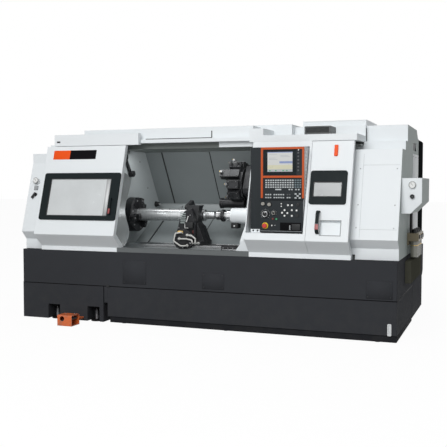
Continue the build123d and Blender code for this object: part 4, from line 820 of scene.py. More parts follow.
def makeStage(sizes):
    mesh = bmesh.new()
    half = sizes["half"]
    corners = ((-half, -half, 0), (half, -half, 0), (half, half, 0), (-half, half, 0))
    mesh.faces.new([mesh.verts.new(place) for place in corners])
    data = bpy.data.meshes.new("floor")
    mesh.to_mesh(data)
    mesh.free()
    data.materials.append(makeFloorPaint(sizes))
    floor = bpy.data.objects.new("floor", data)
    bpy.context.scene.collection.objects.link(floor)
    world = bpy.data.worlds.new("studio")
    bpy.context.scene.world = world
    world.use_nodes = True
    tree = world.node_tree
    sky = tree.nodes["Background"]
    sky.inputs["Color"].default_value = (1.0, 1.0, 1.0, 1)
    tree.links.new(span(tree, seenRay(tree), 0.0, 1.0, sizes["sky"], 1.0), sky.inputs["Strength"])
    for name, lamp in sizes["lamps"].items():
        makeLight(name, *lamp)
    bpy.context.scene.view_settings.view_transform = "Standard"


makeStage(stageSizes)
print("stage set")

# Doors and windows

windowSizes = {"lap": 0.012, "bead": 0.009, "tall": 0.009}


def frameRows(left, right, bottom, top, width, back, front):
    return [
        (left, right, bottom, bottom + width, back, front, 0),
        (left, right, top - width, top, back, front, 0),
        (left, left + width, bottom + width, top - width, back, front, 0),
        (right - width, right, bottom + width, top - width, back, front, 0),
    ]


def makeGasket(name, glass, body, sizes):
    low, high = spanIn(leanFront, glass)
    lap, bead, tall = sizes["lap"], sizes["bead"], sizes["tall"]
    rows = frameRows(low.x + lap, high.x - lap, low.y + lap, high.y - lap, bead, high.z, high.z + tall)
    batch(name, leanFront, ["seam_dark"], body, rows, bevel=bead / 4)


makeGasket("leftGasket", "left_window_glass", "front_door", windowSizes)
makeGasket("tailGasket", "tail_window_glass", "service_door", windowSizes)

stripSizes = {"right": 0.024, "width": 0.046, "inset": 0.022, "tall": 0.0006}


def makeGlassStrip(sizes):
    low, high = spanIn(leanFront, "left_window_glass")
    right, inset, tall = high.x - sizes["right"], sizes["inset"], sizes["tall"]
    row = (right - sizes["width"], right, low.y + inset, high.y - inset, high.z, high.z + tall, 0)
    batch("glassStrip", leanFront, ["strip_pale"], "front_door", [row], bevel=tall / 4)


makeGlassStrip(stripSizes)
paintFaces("alarm_lamp", "orange_plate", lambda centre, normal: True)

plateSizes = {"left": 0.096, "length": 0.52, "split": 0.204, "drop": 0.061, "height": 0.100, "thick": 0.003}


def makePlate(sizes):
    low, high = spanIn(leanFront, "left_door")
    left = low.x + sizes["left"]
    middle = left + sizes["split"]
    top = high.y - sizes["drop"]
    bottom = top - sizes["height"]
    batch("doorPlate", leanFront, ["orange_plate", "plate_black"], "front_door", [
        (left, middle, bottom, top, 0, sizes["thick"], 0),
        (middle, left + sizes["length"], bottom, top, 0, sizes["thick"], 1),
    ], bevel=sizes["thick"] / 4)


makePlate(plateSizes)

gripSizes = {
    "set": 0.077,
    "width": 0.016,
    "wrap": 0.0015,
    "bottom": 0.066,
    "tip": 0.054,
    "thick": 0.010,
    "round": 0.003,
}


def makeGripTip(sizes):
    low, high = spanIn(leanFront, "left_window_frame")
    wrap = sizes["wrap"]
    left = high.x - sizes["set"] - wrap
    right = left + sizes["width"] + 2 * wrap
    bottom = low.y + sizes["bottom"]
    back = high.z - sizes["thick"] - wrap
    row = (left, right, bottom, bottom + sizes["tip"], back, high.z + wrap, 0)
    batch("gripTip", leanFront, ["tag_red"], "front_door", [row], bevel=sizes["round"])


makeGripTip(gripSizes)

sleeveSizes = {
    "wrap": 0.0015,
    "bottom": 0.028,
    "top": 0.078,
    "thick": 0.017,
    "ring": 0.004,
    "lip": 0.001,
    "round": 0.0015,
}


def makeHandleSleeve(sizes):
    low, high = spanIn(leanFront, "tail_handle")
    wrap, lip = sizes["wrap"], sizes["lip"]
    left, right = low.x - wrap, high.x + wrap
    bottom, top = low.y + sizes["bottom"], low.y + sizes["top"]
    back, front = high.z - sizes["thick"] - wrap, high.z + wrap
    batch("handleSleeve", leanFront, ["tag_red", "seam_grey"], "service_door", [
        (left, right, bottom, top, back, front, 0),
        (left - lip, right + lip, top, top + sizes["ring"], back - lip, front + lip, 1),
    ], bevel=sizes["round"])


makeHandleSleeve(sleeveSizes)

pocketSizes = {"left": 0.134, "bottom": 0.060, "length": 0.184, "height": 0.135, "rim": 0.007, "tall": 0.002}


def makePocketRim(sizes):
    left, bottom = spanIn(leanFront, "tail_door")[0].x + sizes["left"], sizes["bottom"]
    right, top = left + sizes["length"], bottom + sizes["height"]
    rim, tall = sizes["rim"], sizes["tall"]
    rows = frameRows(left - rim, right + rim, bottom - rim, top + rim, rim, 0, tall)
    batch("pocketRim", leanFront, ["seam_grey"], "service_door", rows, bevel=tall / 3)


makePocketRim(pocketSizes)
print("doors dressed")

# Console

postSizes = {"reach": 0.010}
trimLow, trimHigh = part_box("console_trim")
screenFront = frontAt(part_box("screen")[0].y - corner.y)
upperFace = frontAt(trimHigh.y - corner.y)
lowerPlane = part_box("console_box")[0].y + postSizes["reach"] - corner.y
lowerFace = frontAt(lowerPlane)
consoleX = trimLow.x - corner.x

# Fields are shares of the screen: left, right, bottom, top, level, material
screenSizes = {
    "rim": 0.005,
    "thick": 0.0008,
    "fields": [
        (0, 1, 0.34, 0.96, 0, 0),
        (0, 1, 0.12, 0.34, 0, 1),
        (0, 1, 0, 0.12, 0, 2),
        (0, 1, 0.96, 1, 0, 3),
        (0.48, 1, 0.42, 0.53, 1, 3),
    ],
    "lines": ((0.05, 0.4), (0.05, 0.33), (0.52, 0.9), (0.52, 0.84), (0.05, 0.37)),
    "lineUp": 0.62,
    "lineStep": 0.065,
    "lineTall": 0.02,
    "keys": (0.06, 0.3, 0.6, 0.74),
    "key": (0.07, 0.03, 0.08),
}


def makeScreenPicture(sizes):
    low, high = spanIn(screenFront, "screen")
    rim, thick = sizes["rim"], sizes["thick"]
    width, height = high.x - low.x - 2 * rim, high.y - low.y - 2 * rim
    left, bottom = low.x + rim, low.y + rim
    fields = list(sizes["fields"])
    for number, (start, stop) in enumerate(sizes["lines"]):
        up = sizes["lineUp"] + sizes["lineStep"] * number
        fields.append((start, stop, up, up + sizes["lineTall"], 1, 2))
    keyWide, keyBottom, keyTop = sizes["key"]
    fields += [(start, start + keyWide, keyBottom, keyTop, 1, 4) for start in sizes["keys"]]
    rows = []
    for x0, x1, y0, y1, level, material in fields:
        back = thick * level / 2
        place = (left + x0 * width, left + x1 * width, bottom + y0 * height, bottom + y1 * height)
        rows.append((*place, back, back + thick, material))
    used = ["screen_pale", "screen_warm", "screen_grey", "screen_blue", "green_cap"]
    batch("screenPicture", screenFront, used, "machine", rows)


makeScreenPicture(screenSizes)

bezelSizes = {
    "width": 0.030,
    "below": 0.024,
    "above": 0.015,
    "thick": 0.004,
    "keys": 6,
    "key": 0.015,
    "keySet": 0.042,
    "dot": (0.051, 0.012, 0.006),
    "round": 0.0012,
}


def makeBezel(sizes):
    low, high = spanIn(upperFace, "screen")
    width, thick, key = sizes["width"], sizes["thick"], sizes["key"]
    rows = [
        (low.x - width, high.x + width, low.y - sizes["below"], low.y, 0, thick, 0),
        (low.x - width, high.x + width, high.y, high.y + sizes["above"], 0, thick, 0),
        (low.x - width, low.x, low.y, high.y, 0, thick, 0),
        (high.x, high.x + width, low.y, high.y, 0, thick, 0),
    ]
    left = high.x + sizes["keySet"]
    for number in range(sizes["keys"]):
        up = low.y + (number + 0.5) * (high.y - low.y) / sizes["keys"]
        rows.append((left, left + key, up - key / 2, up + key / 2, 0, thick, 1))
    across, up, radius = sizes["dot"]
    dot = (high.x + across, high.y + up, radius, 0, thick, 2)
    used = ["frame_plastic", "key_dark", "white_cap"]
    batch("screenBezel", upperFace, used, "machine", rows, [dot], sizes["round"])


makeBezel(bezelSizes)

# Key groups: middle, counts, extent, size, material
keySizes = {
    "main": (0.0165, 0.0125, 0.006),
    "small": (0.015, 0.012, 0.006),
    "arrow": (0.019, 0.014, 0.006),
    "long": [(0.141, 0.199, 1.384, 1.396), (0.348, 0.368, 1.3235, 1.3375)],
    "tall": 0.006,
    "round": 0.001,
    "groups": {
        "keyRows": ((0.181, 1.4443), (12, 4), (0.2585, 0.0646), "main", "key_light"),
        "keySide": ((0.360, 1.4443), (3, 4), (0.047, 0.0646), "main", "key_teal"),
        "keyPairA": ((0.290, 1.390), (2, 1), (0.024, 0.0), "small", "key_light"),
        "keyPairB": ((0.355, 1.390), (2, 1), (0.026, 0.0), "small", "key_light"),
        "keyThree": ((0.072, 1.328), (3, 2), (0.044, 0.028), "small", "key_light"),
        "keyFive": ((0.176, 1.328), (5, 2), (0.088, 0.028), "small", "key_light"),
        "keyTwo": ((0.271, 1.314), (2, 1), (0.021, 0.0), "small", "key_light"),
        "keyTwoDark": ((0.271, 1.342), (2, 1), (0.021, 0.0), "small", "key_dark"),
        "keyArrows": ((0.358, 1.3305), (2, 2), (0.040, 0.037), "arrow", "key_light"),
    },
}


def makeKeys(sizes):
    tall, rounding = sizes["tall"], sizes["round"]
    for name, ((across, up), counts, extent, size, material) in sizes["groups"].items():
        middle = (consoleX + across, up, tall / 2)
        blocks(name, upperFace, middle, counts, extent, sizes[size], material, "machine", bevel=rounding)
    rows = []
    for left, right, bottom, top in sizes["long"]:
        rows.append((consoleX + left, consoleX + right, bottom, top, 0, tall, 0))
    longKey = batch("keyLong", upperFace, ["key_light"], "machine", rows, bevel=rounding)
    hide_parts("console_keys")


makeKeys(keySizes)


def dialFace(node, plane):
    low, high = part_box(node)
    centre = (low + high) / 2
    return basisAt(Vector((centre.x, plane, centre.z)), axisX, -axisY), (high.x - low.x) / 2


stopSizes = {"ring": 0.031, "tall": 0.004, "taper": 0.94, "bead": 0.0016, "beadSet": 0.86, "sides": 36}


def makeStopRing(sizes):
    basis = dialFace("estop_button", corner.y + lowerPlane)[0]
    mesh = bmesh.new()
    rod(mesh, basis, (0, 0), sizes["ring"], 0, sizes["tall"], sizes["sides"], 0, sizes["taper"])
    ring(mesh, basis, (0, 0), sizes["ring"] * sizes["beadSet"], sizes["bead"], sizes["tall"])
    finishPiece("stopRing", mesh, ["yellow_ring"], "machine")


makeStopRing(stopSizes)

# Button groups: places, material, scale
buttonSizes = {
    "radius": 0.0095,
    "tall": 0.008,
    "collar": 1.28,
    "collarTall": 0.45,
    "taper": 0.9,
    "groups": {
        "whiteButtons": ([
            (0.276, 1.245), (0.313, 1.245), (0.243, 1.199), (0.219, 1.174), (0.270, 1.172),
            (0.243, 1.146), (0.313, 1.199), (0.358, 1.197), (0.313, 1.146),
        ], "white_cap", 1.0),
        "whitePair": ([(0.211, 1.258), (0.211, 1.234), (0.120, 1.053)], "white_cap", 0.7),
        "darkButtons": ([(0.370, 1.250), (0.364, 1.148)], "knob_plastic", 1.4),
        "greenButton": ([(0.164, 1.114)], "green_cap", 1.0),
        "redButton": ([(0.129, 1.116)], "dim_red", 1.0),
        "greyButton": ([(0.150, 1.055)], "seam_grey", 0.6),
    },
}


def makeButtons(sizes):
    tall = sizes["tall"]
    for name, (spots, material, scale) in sizes["groups"].items():
        radius = sizes["radius"] * scale
        rods = []
        for across, up in spots:
            rods.append((consoleX + across, up, radius * sizes["collar"], 0, tall * sizes["collarTall"], 1))
            rods.append((consoleX + across, up, radius, 0, tall, 0))
        batch(name, lowerFace, [material, "knob_plastic"], "machine", rods=rods, taper=sizes["taper"])


makeButtons(buttonSizes)

switchSizes = {
    "spots": ((0.033, 1.256), (0.094, 1.250)),
    "radius": 0.017,
    "collar": 0.02125,
    "collarTall": 0.003,
    "tall": 0.016,
    "lever": (0.005, 0.014, 0.008),
    "round": 0.0012,
}


def makeSwitches(sizes):
    wide, long, rise = sizes["lever"]
    tall = sizes["tall"]
    boxes, rods = [], []
    for across, up in sizes["spots"]:
        middle = consoleX + across
        rods.append((middle, up, sizes["collar"], 0, sizes["collarTall"], 1))
        rods.append((middle, up, sizes["radius"], 0, tall, 0))
        boxes.append((middle - wide / 2, middle + wide / 2, up - long, up + long, tall, tall + rise, 0))
    used = ["switch_grey", "plate_black"]
    batch("modeSwitches", lowerFace, used, "machine", boxes, rods, sizes["round"])


makeSwitches(switchSizes)

# Shares of the dial's radius, apart from widths and heights
dialSizes = {
    "ticks": 21,
    "longEvery": 5,
    "spreadDeg": 135,
    "inner": 1.18,
    "outer": 1.42,
    "width": 0.0014,
    "tall": 0.0006,
    "pointer": (0.25, 0.82),
    "pointerWidth": 0.003,
    "pointerTall": 0.0012,
    "pointerRound": 0.0004,
    "rim": 0.72,
    "rimThick": 0.0022,
}


def makeDialScale(name, node, sizes):
    basis, radius = dialFace(node, corner.y + lowerPlane)
    half, inner, outer = sizes["width"] / 2, sizes["inner"], sizes["outer"]
    mesh = bmesh.new()
    for number in range(sizes["ticks"]):
        angle = math.radians(90 + sizes["spreadDeg"] * (2 * number / (sizes["ticks"] - 1) - 1))
        spun = basis @ Matrix.Rotation(angle, 4, "Z")
        reach = outer if number % sizes["longEvery"] == 0 else (inner + outer) / 2
        block(mesh, spun, (radius * inner, -half, 0), (radius * reach, half, sizes["tall"]))
    finishPiece(name, mesh, ["white_cap"], "machine")


def makePointer(name, node, body, material, sizes):
    basis, radius = dialFace(node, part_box(node)[0].y)
    half = sizes["pointerWidth"] / 2
    inner, outer = sizes["pointer"]
    mesh = bmesh.new()
    low, high = (-half, radius * inner, 0), (half, radius * outer, sizes["pointerTall"])
    block(mesh, basis, low, high, sizes["pointerRound"])
    ring(mesh, basis, (0, 0), radius * sizes["rim"], sizes["rimThick"], 0, 1)
    finishPiece(name, mesh, ["white_cap", material], body)


makeDialScale("wheelScale", "handwheel", dialSizes)
makeDialScale("overrideScale", "feed_dial", dialSizes)
makePointer("wheelPointer", "handwheel", "pulse_wheel", "bright_steel", dialSizes)
makePointer("overridePointer", "feed_dial", "override_dial", "switch_grey", dialSizes)

# Plates below: left, right, bottom, top, back, front, material
portSizes = {
    "plates": [
        (0.200, 0.400, 1.008, 1.082, 0, 0.006, 0),
        (0.290, 0.301, 1.014, 1.058, 0.006, 0.014, 1),
        (0.312, 0.392, 1.014, 1.070, 0.006, 0.009, 2),
        (0.012, 0.408, 0.9985, 1.0025, 0, 0.002, 1),
        (0.012, 0.408, 1.2905, 1.2945, 0, 0.0015, 0),
    ],
    "materials": ["plate_black", "seam_grey", "knob_plastic"],
    "round": 0.0006,
}
portRows = [(consoleX + left, consoleX + right, *rest) for left, right, *rest in portSizes["plates"]]
batch("portCover", lowerFace, portSizes["materials"], "machine", portRows, bevel=portSizes["round"])

tabSizes = {
    "size": (0.022, 0.016, 0.004),
    "counts": (1, 13),
    "extent": (0.0, 0.40),
    "middle": (0.004, 1.54, 0.002),
    "round": 0.001,
    "edge": 0.002,
}


def makeSideTabs(sizes):
    side = rightAt(trimHigh.x - corner.x)
    grid = (sizes["middle"], sizes["counts"], sizes["extent"], sizes["size"])
    blocks("sideTabs", side, *grid, "white_cap", "machine", bevel=sizes["round"])
    edge = trimHigh.x - sizes["edge"]
    # The dark console box's right side is painted light grey: a painted highlight
    paintFaces("console_box", "side_highlight_grey", lambda centre, normal: normal.x > 0.9 and centre.x > edge)


makeSideTabs(tabSizes)

bracketSizes = {"spots": ((2.650, 1.000, 0), (2.694, 1.000, 0)), "below": 1.02, "screw": (0.009, 0.004)}


def makeBracketScrews(sizes):
    points = facePoints("right_panel", (0, -1, 0))
    face = frontAt(min(place.y for place in points if place.z < sizes["below"]) - corner.y)
    screws("bracketScrews", along(face, sizes["spots"]), *sizes["screw"], "knob_plastic", "machine")


makeBracketScrews(bracketSizes)
print("console dressed")

# Gauges

gaugeSizes = {
    "radius": 0.033,
    "level": 0.016,
    "face": (0.84, 0.001),
    "rim": (0.93, 0.09),
    "ticks": 13,
    "startDeg": -45,
    "sweepDeg": 270,
    "tick": (0.62, 0.78, 0.0006, 0.0016),
    "needle": (-0.2, 0.6, 0.001, 0.0024),
    "needleDeg": 130,
    "needleRound": 0.0004,
    "sides": 32,
    "box": (0.098, 0.265),
    "boxFace": 0.25,
    "shell": 0.098,
    "stem": 0.155,
    "neck": 0.08,
}


def makeGaugeFace(name, basis, centre, sizes):
    radius, level = sizes["radius"], sizes["level"]
    share, thick = sizes["face"]
    mesh = bmesh.new()
    rod(mesh, basis, centre, radius * share, level, level + thick, sizes["sides"])
    share, thick = sizes["rim"]
    ring(mesh, basis, centre, radius * share, radius * thick, level, 1)
    middle = basis @ Matrix.Translation((centre[0], centre[1], level))
    inner, outer, half, tall = sizes["tick"]
    for number in range(sizes["ticks"]):
        turn = sizes["startDeg"] + sizes["sweepDeg"] * number / (sizes["ticks"] - 1)
        spun = middle @ Matrix.Rotation(math.radians(turn), 4, "Z")
        block(mesh, spun, (radius * inner, -half, 0), (radius * outer, half, tall), 0, 2)
    needle = middle @ Matrix.Rotation(math.radians(sizes["needleDeg"]), 4, "Z")
    inner, outer, half, tall = sizes["needle"]
    low, high = (radius * inner, -half, 0), (radius * outer, half, tall)
    block(mesh, needle, low, high, sizes["needleRound"], 2)
    finishPiece(name, mesh, ["white_cap", "dial_rim", "plate_black"], "machine")


def makeGauges(sizes):
    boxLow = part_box("gauge_box")[0]
    boxPoints = facePoints("gauge_box", (0, -1, 0))
    boxPlane = min(place.y for place in boxPoints if place.z > boxLow.z + sizes["boxFace"])
    boxFront = basisAt(Vector((boxLow.x, boxPlane, boxLow.z)), axisX, -axisY)
    makeGaugeFace("boxGauge", boxFront, sizes["box"], sizes)
    shellFront = leanAt(-spanIn(leanFront, "left_enclosure")[1].z)
    shellX = sizes["shell"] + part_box("left_enclosure")[0].x - corner.x
    turnedBack = shellFront.inverted()
    vertices = nodes["pressure_gauges"].data.vertices
    shellTop = max((turnedBack @ vertex.co).y for vertex in vertices if vertex.co.x < 0)
    makeGaugeFace("shellGauge", shellFront, (shellX, shellTop - sizes["radius"]), sizes)
    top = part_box("pressure_gauges")[1].z
    stem, neck = top - sizes["stem"], top - sizes["neck"]
    paintFaces("pressure_gauges", "knob_plastic", lambda centre, normal: centre.x < 0 and centre.z < stem)
    paintFaces("pressure_gauges", "seam_grey", lambda centre, normal: centre.x < 0 and stem < centre.z < neck)


makeGauges(gaugeSizes)
print("gauges dressed")

# Header and roof

headerSizes = {
    "slot": (0.357, 0.397, 1.886, 1.902),
    "seam": (1.367, 2.112, 1.899, 1.915),
    "tick": (2.106, 2.115, 1.914, 1.981),
    "beam": 0.250,
    "thick": 0.003,
    "round": 0.0004,
}


def makeHeaderSeams(sizes):
    thick, rounding = sizes["thick"], sizes["round"]
    front = frontAt(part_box("header_covers")[0].y - corner.y)
    slot = (*sizes["slot"], 0, thick, 0)
    batch("headerSlot", front, ["seam_dark"], "machine", [slot], bevel=rounding)
    # The black seam and end tick on the beam front are painted shadow in the gap where the beam meets the
    # rail
    rows = [(*sizes["seam"], 0, thick, 0), (*sizes["tick"], 0, thick, 0)]
    batch("beamShadowGap", frontAt(sizes["beam"]), ["plate_black"], "machine", rows, bevel=rounding)


makeHeaderSeams(headerSizes)

grilleSizes = {
    "blades": 14,
    "size": (0.42, 0.012, 0.006),
    "extent": 0.30,
    "set": 0.20,
    "deep": 1.02,
    "tiltDeg": 25,
    "round": 0.001,
}


def makeRoofGrille(sizes):
    basis = topAt(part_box("roof_cover")[1].z)
    middle = (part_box("right_enclosure")[0].x - corner.x - sizes["set"], sizes["deep"], 0.0)
    grid = (middle, (1, sizes["blades"]), (0.0, sizes["extent"]), sizes["size"])
    tilt = (math.radians(sizes["tiltDeg"]), 0.0, 0.0)
    blocks("roofGrille", basis, *grid, "vent_paint", "machine", tilt, sizes["round"])


makeRoofGrille(grilleSizes)

roofSizes = {"columns": (1.40, 2.10, 2.80), "rows": (0.66, 1.30), "level": 2.042, "screw": (0.011, 0.005)}
roofPlaces = [(across, deep, 0) for deep in roofSizes["rows"] for across in roofSizes["columns"]]
roofSpots = along(topAt(roofSizes["level"]), roofPlaces)
screws("roofScrews", roofSpots, *roofSizes["screw"], "foot_steel", "machine")
print("header dressed")

# Machining area

wallSizes = {
    "upper": (1.172, 1.768),
    "lower": (1.120, 1.740),
    "width": 0.010,
    "inset": 0.004,
    "tall": 0.0012,
    "level": 0.012,
    "round": 0.0004,
    "upperTowards": (0, -0.85, -0.527),
    "lowerTowards": (0, -0.49, 0.872),
}


def makeWallSeams(name, node, towards, places, sizes):
    wall = largestFace(node, towards)
    normal = wall.normal.copy()
    points = facePoints(node, normal, 0.999)
    points = [point for point in points if abs((point - wall.center).dot(normal)) < sizes["level"]]
    basis = basisAt(Vector((corner.x, points[0].y, points[0].z)), axisX, normal)
    local = [basis.inverted() @ point for point in points]
    bottom = min(point.y for point in local) + sizes["inset"]
    top = max(point.y for point in local) - sizes["inset"]
    back = min(point.z for point in local)
    front = max(point.z for point in local) + sizes["tall"]
    half = sizes["width"] / 2
    # The dark strips are partly the panel joints and partly painted shadow in the gaps between lapped panels
    rows = [(place - half, place + half, bottom, top, back, front, 0) for place in places]
    batch(name, basis, ["seam_dark"], "machine", rows, bevel=sizes["round"])


makeWallSeams("upperSeams", "splash_panels", wallSizes["upperTowards"], wallSizes["upper"], wallSizes)
makeWallSeams("lowerSeams", "chute", wallSizes["lowerTowards"], wallSizes["lower"], wallSizes)

coverSizes = {
    "front": 1.408,
    "plates": [
        (0.967, 2.190, 1.126, 1.214, -0.004, 0, 0),
        (0.967, 2.190, 1.210, 1.214, 0, 0.010, 0),
        (0.967, 2.190, 1.126, 1.130, 0, 0.010, 0),
    ],
    "round": 0.001,
}
coverFront = frontAt(coverSizes["front"])
batch("slotCover", coverFront, ["cover_steel"], "machine", coverSizes["plates"], bevel=coverSizes["round"])

nozzleSizes = {
    "place": (1.309, 1.206),
    "collar": (0.034, 0.010),
    "ball": 0.028,
    "reach": 0.050,
    "taper": 0.8,
    "bead": (0.0224, 0.006, 0.026),
    "tip": (0.014, 0.022, 0.7),
    "sides": 28,
    "tipSides": 20,
}
bulkheadFace = rightAt(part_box("soffit")[0].x - corner.x)


def makeNozzle(sizes):
    place, reach, sides = sizes["place"], sizes["reach"], sizes["sides"]
    mesh = bmesh.new()
    radius, start = sizes["collar"]
    rod(mesh, bulkheadFace, place, radius, 0, start, sides)
    rod(mesh, bulkheadFace, place, sizes["ball"], start, reach, sides, 0, sizes["taper"])
    ring(mesh, bulkheadFace, place, *sizes["bead"])
    radius, long, taper = sizes["tip"]
    rod(mesh, bulkheadFace, place, radius, reach, reach + long, sizes["tipSides"], 1, taper)
    finishPiece("ballNozzle", mesh, ["knob_plastic", "bright_steel"], "machine")


makeNozzle(nozzleSizes)

bulkheadSizes = {
    "spots": [
        (0.36, 1.70, 0), (0.90, 1.70, 0), (0.36, 1.40, 0),
        (1.10, 1.40, 0), (0.36, 0.95, 0), (0.95, 0.95, 0),
    ],
    "screw": (0.009, 0.004),
    "liningRight": 1.0,
    "shellBand": (0.949, 0.981),
    "sill": 0.10,
}


def makeBulkheadDress(sizes):
    spots = along(bulkheadFace, sizes["spots"])
    screws("bulkheadScrews", spots, *sizes["screw"], "foot_steel", "machine")
    right, sill = corner.x + sizes["liningRight"], corner.y + sizes["sill"]
    near, far = [corner.x + place for place in sizes["shellBand"]]

    def onLining(centre, normal):
        return normal.x > 0.9 and centre.x < right

    def onShellEnd(centre, normal):
        return normal.x > 0.9 and near < centre.x < far

    # The right-facing bulkhead faces of the lining and the shell end are painted lighter than the lining:
    # painted light
    paintFaces("splash_panels", "bulkhead_lit_steel", onLining)
    paintFaces("left_enclosure", "bulkhead_lit_steel", onShellEnd)
    paintFaces("chute", "sill_grey", lambda centre, normal: centre.y < sill)


makeBulkheadDress(bulkheadSizes)

wiperSizes = {
    "front": 0.297,
    "plates": [
        (2.193, 2.392, 0.764, 0.812, -0.013, 0, 0),
        (2.187, 2.398, 0.812, 0.824, -0.013, 0.004, 0),
        (2.203, 2.382, 0.772, 0.778, 0, 0.002, 1),
    ],
    "round": 0.003,
    "spots": [(2.213, 0.79, 0), (2.266, 0.79, 0), (2.319, 0.79, 0), (2.372, 0.79, 0)],
    "screw": (0.006, 0.003),
}


def makeWiper(sizes):
    basis = frontAt(sizes["front"])
    used = ["tread_rubber", "bright_steel"]
    batch("wayWiper", basis, used, "tailstock", sizes["plates"], bevel=sizes["round"])
    screws("wiperScrews", along(basis, sizes["spots"]), *sizes["screw"], "bright_steel", "tailstock")


makeWiper(wiperSizes)

noseSizes = {
    "front": 0.586,
    "plates": [
        (2.196, 2.268, 0.976, 1.034, -0.108, 0, 0),
        (2.192, 2.196, 0.982, 1.022, -0.098, -0.010, 0),
    ],
    "plugs": [(2.232, 1.002, 0.009, 0, 0.006, 1)],
    "materials": ["knob_plastic", "bright_steel"],
    "round": 0.004,
}
noseParts = (noseSizes["plates"], noseSizes["plugs"], noseSizes["round"])
batch("noseBlock", frontAt(noseSizes["front"]), noseSizes["materials"], "tailstock", *noseParts)
print("machining area dressed")

# Steady rest

steadySizes = {
    "housing": 0.345,
    "drum": 0.262,
    "ribs": ((1.752, 1.088, 0.006), (1, 6), (0.0, 0.098), (0.062, 0.010, 0.012)),
    "ribRound": 0.002,
    "valve": [
        (1.784, 1.874, 0.985, 1.047, 0, 0.040, 0),
        (1.784, 1.789, 0.985, 1.033, 0.040, 0.0415, 1),
        (1.789, 1.826, 0.985, 0.990, 0.040, 0.0415, 1),
        (1.858, 1.866, 0.930, 0.964, 0, 0.004, 2),
    ],
    "valveRound": 0.0006,
    "bar": (1.800, 1.073, 0),
    "barSize": (0.009, 0.080, 0.016),
    "barDeg": -20,
    "fittings": [(1.738, 1.776, 0.936, 0.962, 0, 0.026, 0), (1.776, 1.792, 0.941, 0.957, 0.004, 0.020, 0)],
    "unions": [(1.748, 0.949, 0.010, 0.026, 0.044, 0), (1.767, 0.949, 0.007, 0.026, 0.040, 1)],
    "round": 0.003,
    "drumSpots": [
        (1.70, 0.905, 0), (1.865, 0.905, 0), (1.70, 0.835, 0), (1.865, 0.835, 0), (1.782, 0.785, 0),
    ],
    "drumScrew": (0.007, 0.005),
    "housingSpots": [(1.83, 1.12, 0), (1.868, 1.01, 0), (1.868, 0.90, 0), (1.70, 0.985, 0)],
    "housingScrew": (0.008, 0.005),
}


def makeSteadyDress(sizes):
    housing, drum = frontAt(sizes["housing"]), frontAt(sizes["drum"])
    rounding = sizes["round"]
    blocks("guardRibs", housing, *sizes["ribs"], "side_grey", "steady", bevel=sizes["ribRound"])
    used = ["knob_plastic", "white_cap", "dim_red"]
    batch("valveBox", housing, used, "steady", sizes["valve"], bevel=sizes["valveRound"])
    wide, long, tall = sizes["barSize"]
    turn = Matrix.Rotation(math.radians(sizes["barDeg"]), 4, "Z")
    tilted = housing @ Matrix.Translation(sizes["bar"]) @ turn
    bar = (-wide / 2, wide / 2, -long / 2, long / 2, 0, tall, 0)
    batch("guardBar", tilted, ["white_cap"], "steady", [bar], bevel=rounding)
    used = ["brass", "bright_steel"]
    batch("steadyFittings", drum, used, "steady", sizes["fittings"], sizes["unions"], rounding)
    screws("drumScrews", along(drum, sizes["drumSpots"]), *sizes["drumScrew"], "bright_steel", "steady")
    spots = along(housing, sizes["housingSpots"])
    screws("housingScrews", spots, *sizes["housingScrew"], "foot_steel", "steady")


makeSteadyDress(steadySizes)

armSizes = {"screw": (0.012, 0.005), "deep": 0.022, "drop": 0.02}


def makeArmPin(arm, body, drop, sizes):
    low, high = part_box(arm)
    place = Vector((low.x, low.y + sizes["deep"], (low.z + high.z) / 2 - drop))
    screws(body + "Pin", [(place, -axisX)], *sizes["screw"], "bright_steel", body)


makeArmPin("steady_arm_upper", "upper_arm", armSizes["drop"], armSizes)
makeArmPin("steady_arm_lower", "lower_arm", -armSizes["drop"], armSizes)
print("steady dressed")

# Turret and chuck

turretSizes = {
    "apothem": 0.175,
    "stepDeg": 30,
    "block": 0.066,
    "tip": 0.275,
    "screwPlaces": (2.162, 2.246),
    "reachPlaces": (2.162, 2.246, 2.102),
    "singlePlaces": (2.246,),
    "screwSpread": 0.027,
    "screw": (0.0055, 0.005),
    "shank": 2.144,
    "reachShank": 2.078,
    "insert": (-0.0165, -0.0123, 0.006, -0.013, 0.001),
    "insertRound": 0.001,
    "tools": (2, 3, 5, 6, 7, 10),
    "reaches": (4, 9),
    "single": 5,
    "ringBolts": 12,
    "ringRadius": 0.118,
    "ringSink": -0.012,
    "bolt": (0.008, 0.018),
    "centreBand": (2.040, 2.120),
}
discLow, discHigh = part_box("turret_disc")
discCentre = (discLow + discHigh) / 2


def stationBasis(number, radius, sizes):
    angle = math.radians(-90 - sizes["stepDeg"] * number)
    out = Vector((0, math.cos(angle), math.sin(angle)))
    centre = Vector((corner.x, discCentre.y, discCentre.z))
    return basisAt(centre + out * radius, axisX, out)


